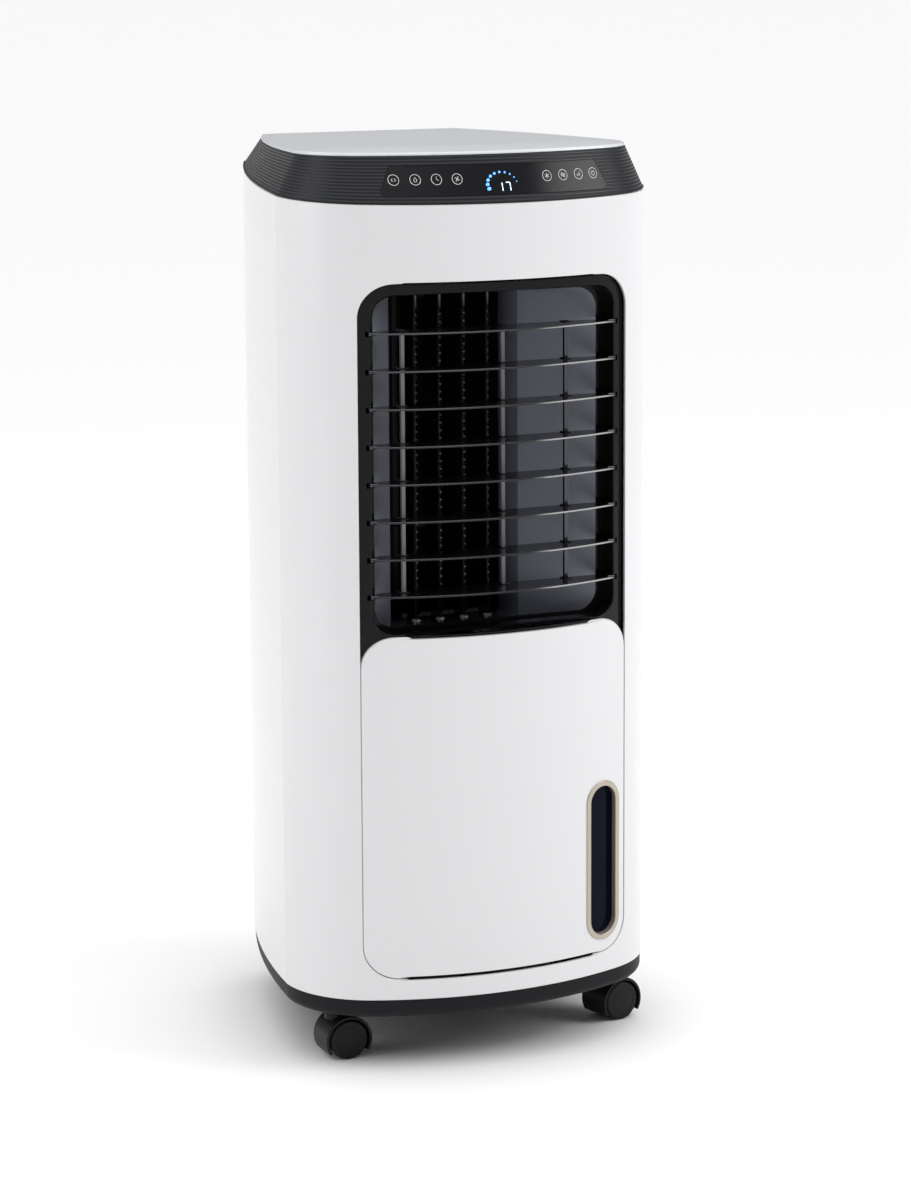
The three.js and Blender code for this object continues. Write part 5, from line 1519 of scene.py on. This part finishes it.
shell = [hexagon(CELL, PAD_LOW.y), hexagon(CELL, PAD_HIGH.y)]
hollow = [hexagon(CELL - CELL_WALL, PAD_HIGH.y), hexagon(CELL - CELL_WALL, PAD_LOW.y)]
cell = new_piece("pad_cell", stacked(shell + hollow, closed=True))
tree, size = new_tree("honeycomb", PAD_GRID)
grid = {
    "Size X": size["Step across"] * (size["Columns"] - 1),
    "Size Y": size["Step up"] * (size["Rows"] - 1),
    "Vertices X": size["Columns"],
    "Vertices Y": size["Rows"],
}
places = make(tree, "GeometryNodeMeshGrid", grid).outputs[0]
x, y, _ = split(tree, make(tree, "GeometryNodeInputPosition").outputs[0])
index = Field(tree, make(tree, "GeometryNodeInputIndex").outputs[0])
odd = index.op("MODULO", size["Rows"]).op("MODULO", 2)
across = x + odd * size["Step across"] * 0.5 + size["Middle across"]
shifted = vector_of(tree, across, 0.0, y + size["Middle up"])
places = make(tree, "GeometryNodeSetPosition", {"Geometry": places, "Position": shifted}).outputs[0]
inputs = {"Points": places, "Instance": size["Geometry"]}
end_tree(tree, make(tree, "GeometryNodeInstanceOnPoints", inputs).outputs[0], PAD, smooth=False)
pad = grown("honeycomb_pad", cell.data, tree, PAD_GRID)
done(pad, PAD, "pad_fibre", "cabinet", "cooling_pad")
print("pad cells:", PAD_GRID["Columns"] * PAD_GRID["Rows"])

# %% [markdown]
# ## Fan
# The fan is a tall squirrel cage: curved blades between end discs, with thin hoops that stiffen
# them. The blade is a curved strip made once, and a tree turns copies of it about the shaft.

# %% The cage and its blades
FAN_LOW, FAN_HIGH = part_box("fan_rotor")
HOUSING_LOW, HOUSING_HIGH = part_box("fan_housing")
FAN_X, FAN_Y, _ = joints["fan_spin"]["pos_m"]
FAN_RADIUS = (FAN_HIGH.x - FAN_LOW.x) / 2
FAN_END_ROOM = 0.014
FAN_BOTTOM = HOUSING_LOW.z + DUCT_WALL + FAN_END_ROOM
FAN_TOP = HOUSING_HIGH.z - DUCT_WALL - FAN_END_ROOM
FAN = {"Blades": 32}
BLADE_TIP_INSET = 0.0010
BLADE_WIDTH = 0.0105
BLADE_ANGLE = 0.014
stations = []
for i in range(7):
    share = i / 6
    radius = FAN_RADIUS - BLADE_TIP_INSET - BLADE_WIDTH * (1 - share)
    angle = -0.16 * share - 0.10 * share * share
    stations.append((radius, angle))


def blade_ring(z):
    """The blade's plan: out along one face and back along the other."""
    out = [(r * math.cos(a), r * math.sin(a), z) for r, a in stations]
    turned_back = [(r, a + BLADE_ANGLE) for r, a in reversed(stations)]
    back = [(r * math.cos(a), r * math.sin(a), z) for r, a in turned_back]
    return out + back


blade_seed = new_piece("blade", stacked([blade_ring(FAN_BOTTOM), blade_ring(FAN_TOP)]))
tree, size = new_tree("bladed_cage", FAN)
index = Field(tree, make(tree, "GeometryNodeInputIndex").outputs[0])
hub = {"Count": size["Blades"], "Position": (FAN_X, FAN_Y, 0)}
spots = make(tree, "GeometryNodePoints", hub).outputs[0]
inputs = {
    "Points": spots,
    "Instance": size["Geometry"],
    "Rotation": vector_of(tree, 0.0, 0.0, index / size["Blades"] * (2 * math.pi)),
}
end_tree(tree, make(tree, "GeometryNodeInstanceOnPoints", inputs).outputs[0], BLACK_SATIN, smooth=False)
blades = grown("fan_blades", blade_seed.data, tree, FAN)
done(blades, BLACK_SATIN, "black_satin", "fan")

shaft_radius = 0.004
disc = FAN_RADIUS
plate = DUCT_WALL
cage_profile = [
    (0, FAN_LOW.z), (shaft_radius, FAN_LOW.z), (shaft_radius, FAN_BOTTOM), (disc, FAN_BOTTOM),
    (disc, FAN_BOTTOM + plate), (shaft_radius, FAN_BOTTOM + plate), (shaft_radius, FAN_TOP - plate),
    (disc, FAN_TOP - plate), (disc, FAN_TOP), (shaft_radius, FAN_TOP), (shaft_radius, FAN_HIGH.z),
    (0, FAN_HIGH.z),
]
cage = turned("fan_cage", cage_profile, (FAN_X, FAN_Y, 0), (0, 0, 1))
for i in (1, 2, 3):
    z = FAN_BOTTOM + (FAN_TOP - FAN_BOTTOM) * i / 4
    hoop = []
    for r, level in ((disc - plate, z), (disc, z), (disc, z + plate), (disc - plate, z + plate)):
        hoop.append([(x, y, level) for x, y in arc(FAN_X, FAN_Y, r, 0, 2 * math.pi, 56)[:-1]])
    combine(cage, "UNION", new_piece("hoop", stacked(hoop, closed=True)))
smoothed(cage, bevel=0.0002, angle=50)
done(cage, BLACK_SATIN, "black_satin", "fan", "fan_rotor")
print("fan blades:", FAN["Blades"])

# %% [markdown]
# ## Rear screws
# Small pan-head screws hold the rear shell. The head is turned once, a cross is cut in it, and a
# tree sets a copy on each screw's place.

# %% Screws
SCREW_RADIUS = 0.0032
HEAD = [
    (0, 0.0002), (SCREW_RADIUS, 0.0002), (SCREW_RADIUS, 0.0006), (0.0027, 0.0012), (0.0015, 0.0016),
    (0, 0.0017),
]
CROSS_LONG, CROSS_NARROW = 0.0019, 0.00035
head = turned("head", HEAD, (0, 0, 0), (0, 1, 0), 20)
cross = []
for a, b in ((CROSS_LONG, CROSS_NARROW), (CROSS_NARROW, CROSS_LONG)):
    cross.append(block("cross", (-a, 0.0009, -b), (a, 0.003, b)))
combine(head, "DIFFERENCE", *cross)
SCREWS = {"Count": 7, "Pitch": 0.115, "Half span": 0.108, "First": 0.125, "Face": REAR_Y}
tree, size = new_tree("screw_rows", SCREWS)
column = {"Count": size["Count"], "Offset": vector_of(tree, 0.0, 0.0, size["Pitch"])}
joined = make(tree, "GeometryNodeJoinGeometry")
for side in (-1, 1):
    start = vector_of(tree, size["Half span"] * side, size["Face"], size["First"])
    row = make(tree, "GeometryNodeMeshLine", {**column, "Start Location": start}).outputs[0]
    tree.links.new(row, joined.inputs[0])
inputs = {"Points": joined.outputs[0], "Instance": size["Geometry"]}
end_tree(tree, make(tree, "GeometryNodeInstanceOnPoints", inputs).outputs[0], STEEL, smooth=False)
screws = grown("rear_screws", head.data, tree, SCREWS)
smoothed(screws, angle=40)
done(screws, STEEL, "steel", "cabinet")
print("screws:", 2 * SCREWS["Count"])

# %% [markdown]
# ## Floor and light
# The floor and the world are pale and plain. A very broad light straight above keeps the whole floor
# near white, and the floor throws it back up at the cabinet. A soft box on the right gives the black
# pieces their highlights and lights the front more on that side. A weaker one on the left lights the
# side, so the left part of the front stays a little greyer.

# %% Floor and lights


def soft_box(name, place, aim, width, height, power):
    data = bpy.data.lights.new(name, "AREA")
    data.shape = "RECTANGLE"
    data.size = width
    data.size_y = height
    data.energy = power
    light = bpy.data.objects.new(name, data)
    light.location = place
    light.rotation_euler = (Vector(aim) - Vector(place)).to_track_quat("-Z", "Y").to_euler()
    bpy.context.scene.collection.objects.link(light)


floor_mesh = bpy.data.meshes.new("floor")
FLOOR_HALF = 60
floor_corners = [(FLOOR_HALF * x, FLOOR_HALF * y, 0) for x, y in ((-1, -1), (1, -1), (1, 1), (-1, 1))]
floor_mesh.from_pydata(floor_corners, [], [(0, 1, 2, 3)])
floor = bpy.data.objects.new("floor", floor_mesh)
bpy.context.scene.collection.objects.link(floor)
floor_material, _, floor_shader = start_material("pale_floor")
floor_shader.inputs["Base Color"].default_value = (0.93, 0.93, 0.93, 1)
floor_shader.inputs["Roughness"].default_value = 0.7
floor_shader.inputs["Specular IOR Level"].default_value = 0.1
floor.data.materials.append(floor_material)

world = bpy.data.worlds.new("studio")
bpy.context.scene.world = world
world.use_nodes = True
world_tree = world.node_tree
backdrop = world_tree.nodes["Background"]
backdrop.inputs["Color"].default_value = (1.0, 1.0, 1.0, 1)
seen = Field(world_tree, make(world_tree, "ShaderNodeLightPath").outputs["Is Camera Ray"])
SEEN_WORLD, LIT_WORLD = 1.0, 0.28
strength = seen * (SEEN_WORLD - LIT_WORLD) + LIT_WORLD
world_tree.links.new(strength.socket, backdrop.inputs["Strength"])
bpy.context.scene.view_settings.view_transform = "Standard"

MIDDLE = (0, 0, 0.5)
soft_box("left_box", (-3.0, 0.2, 1.5), MIDDLE, 1.8, 1.8, 20)
soft_box("right_box", (2.7, -1.7, 1.9), MIDDLE, 1.6, 1.6, 42)

sun = bpy.data.lights.new("broad_overhead", "SUN")
sun.energy = 2.45
sun.angle = math.radians(100)
overhead = bpy.data.objects.new("broad_overhead", sun)
bpy.context.scene.collection.objects.link(overhead)
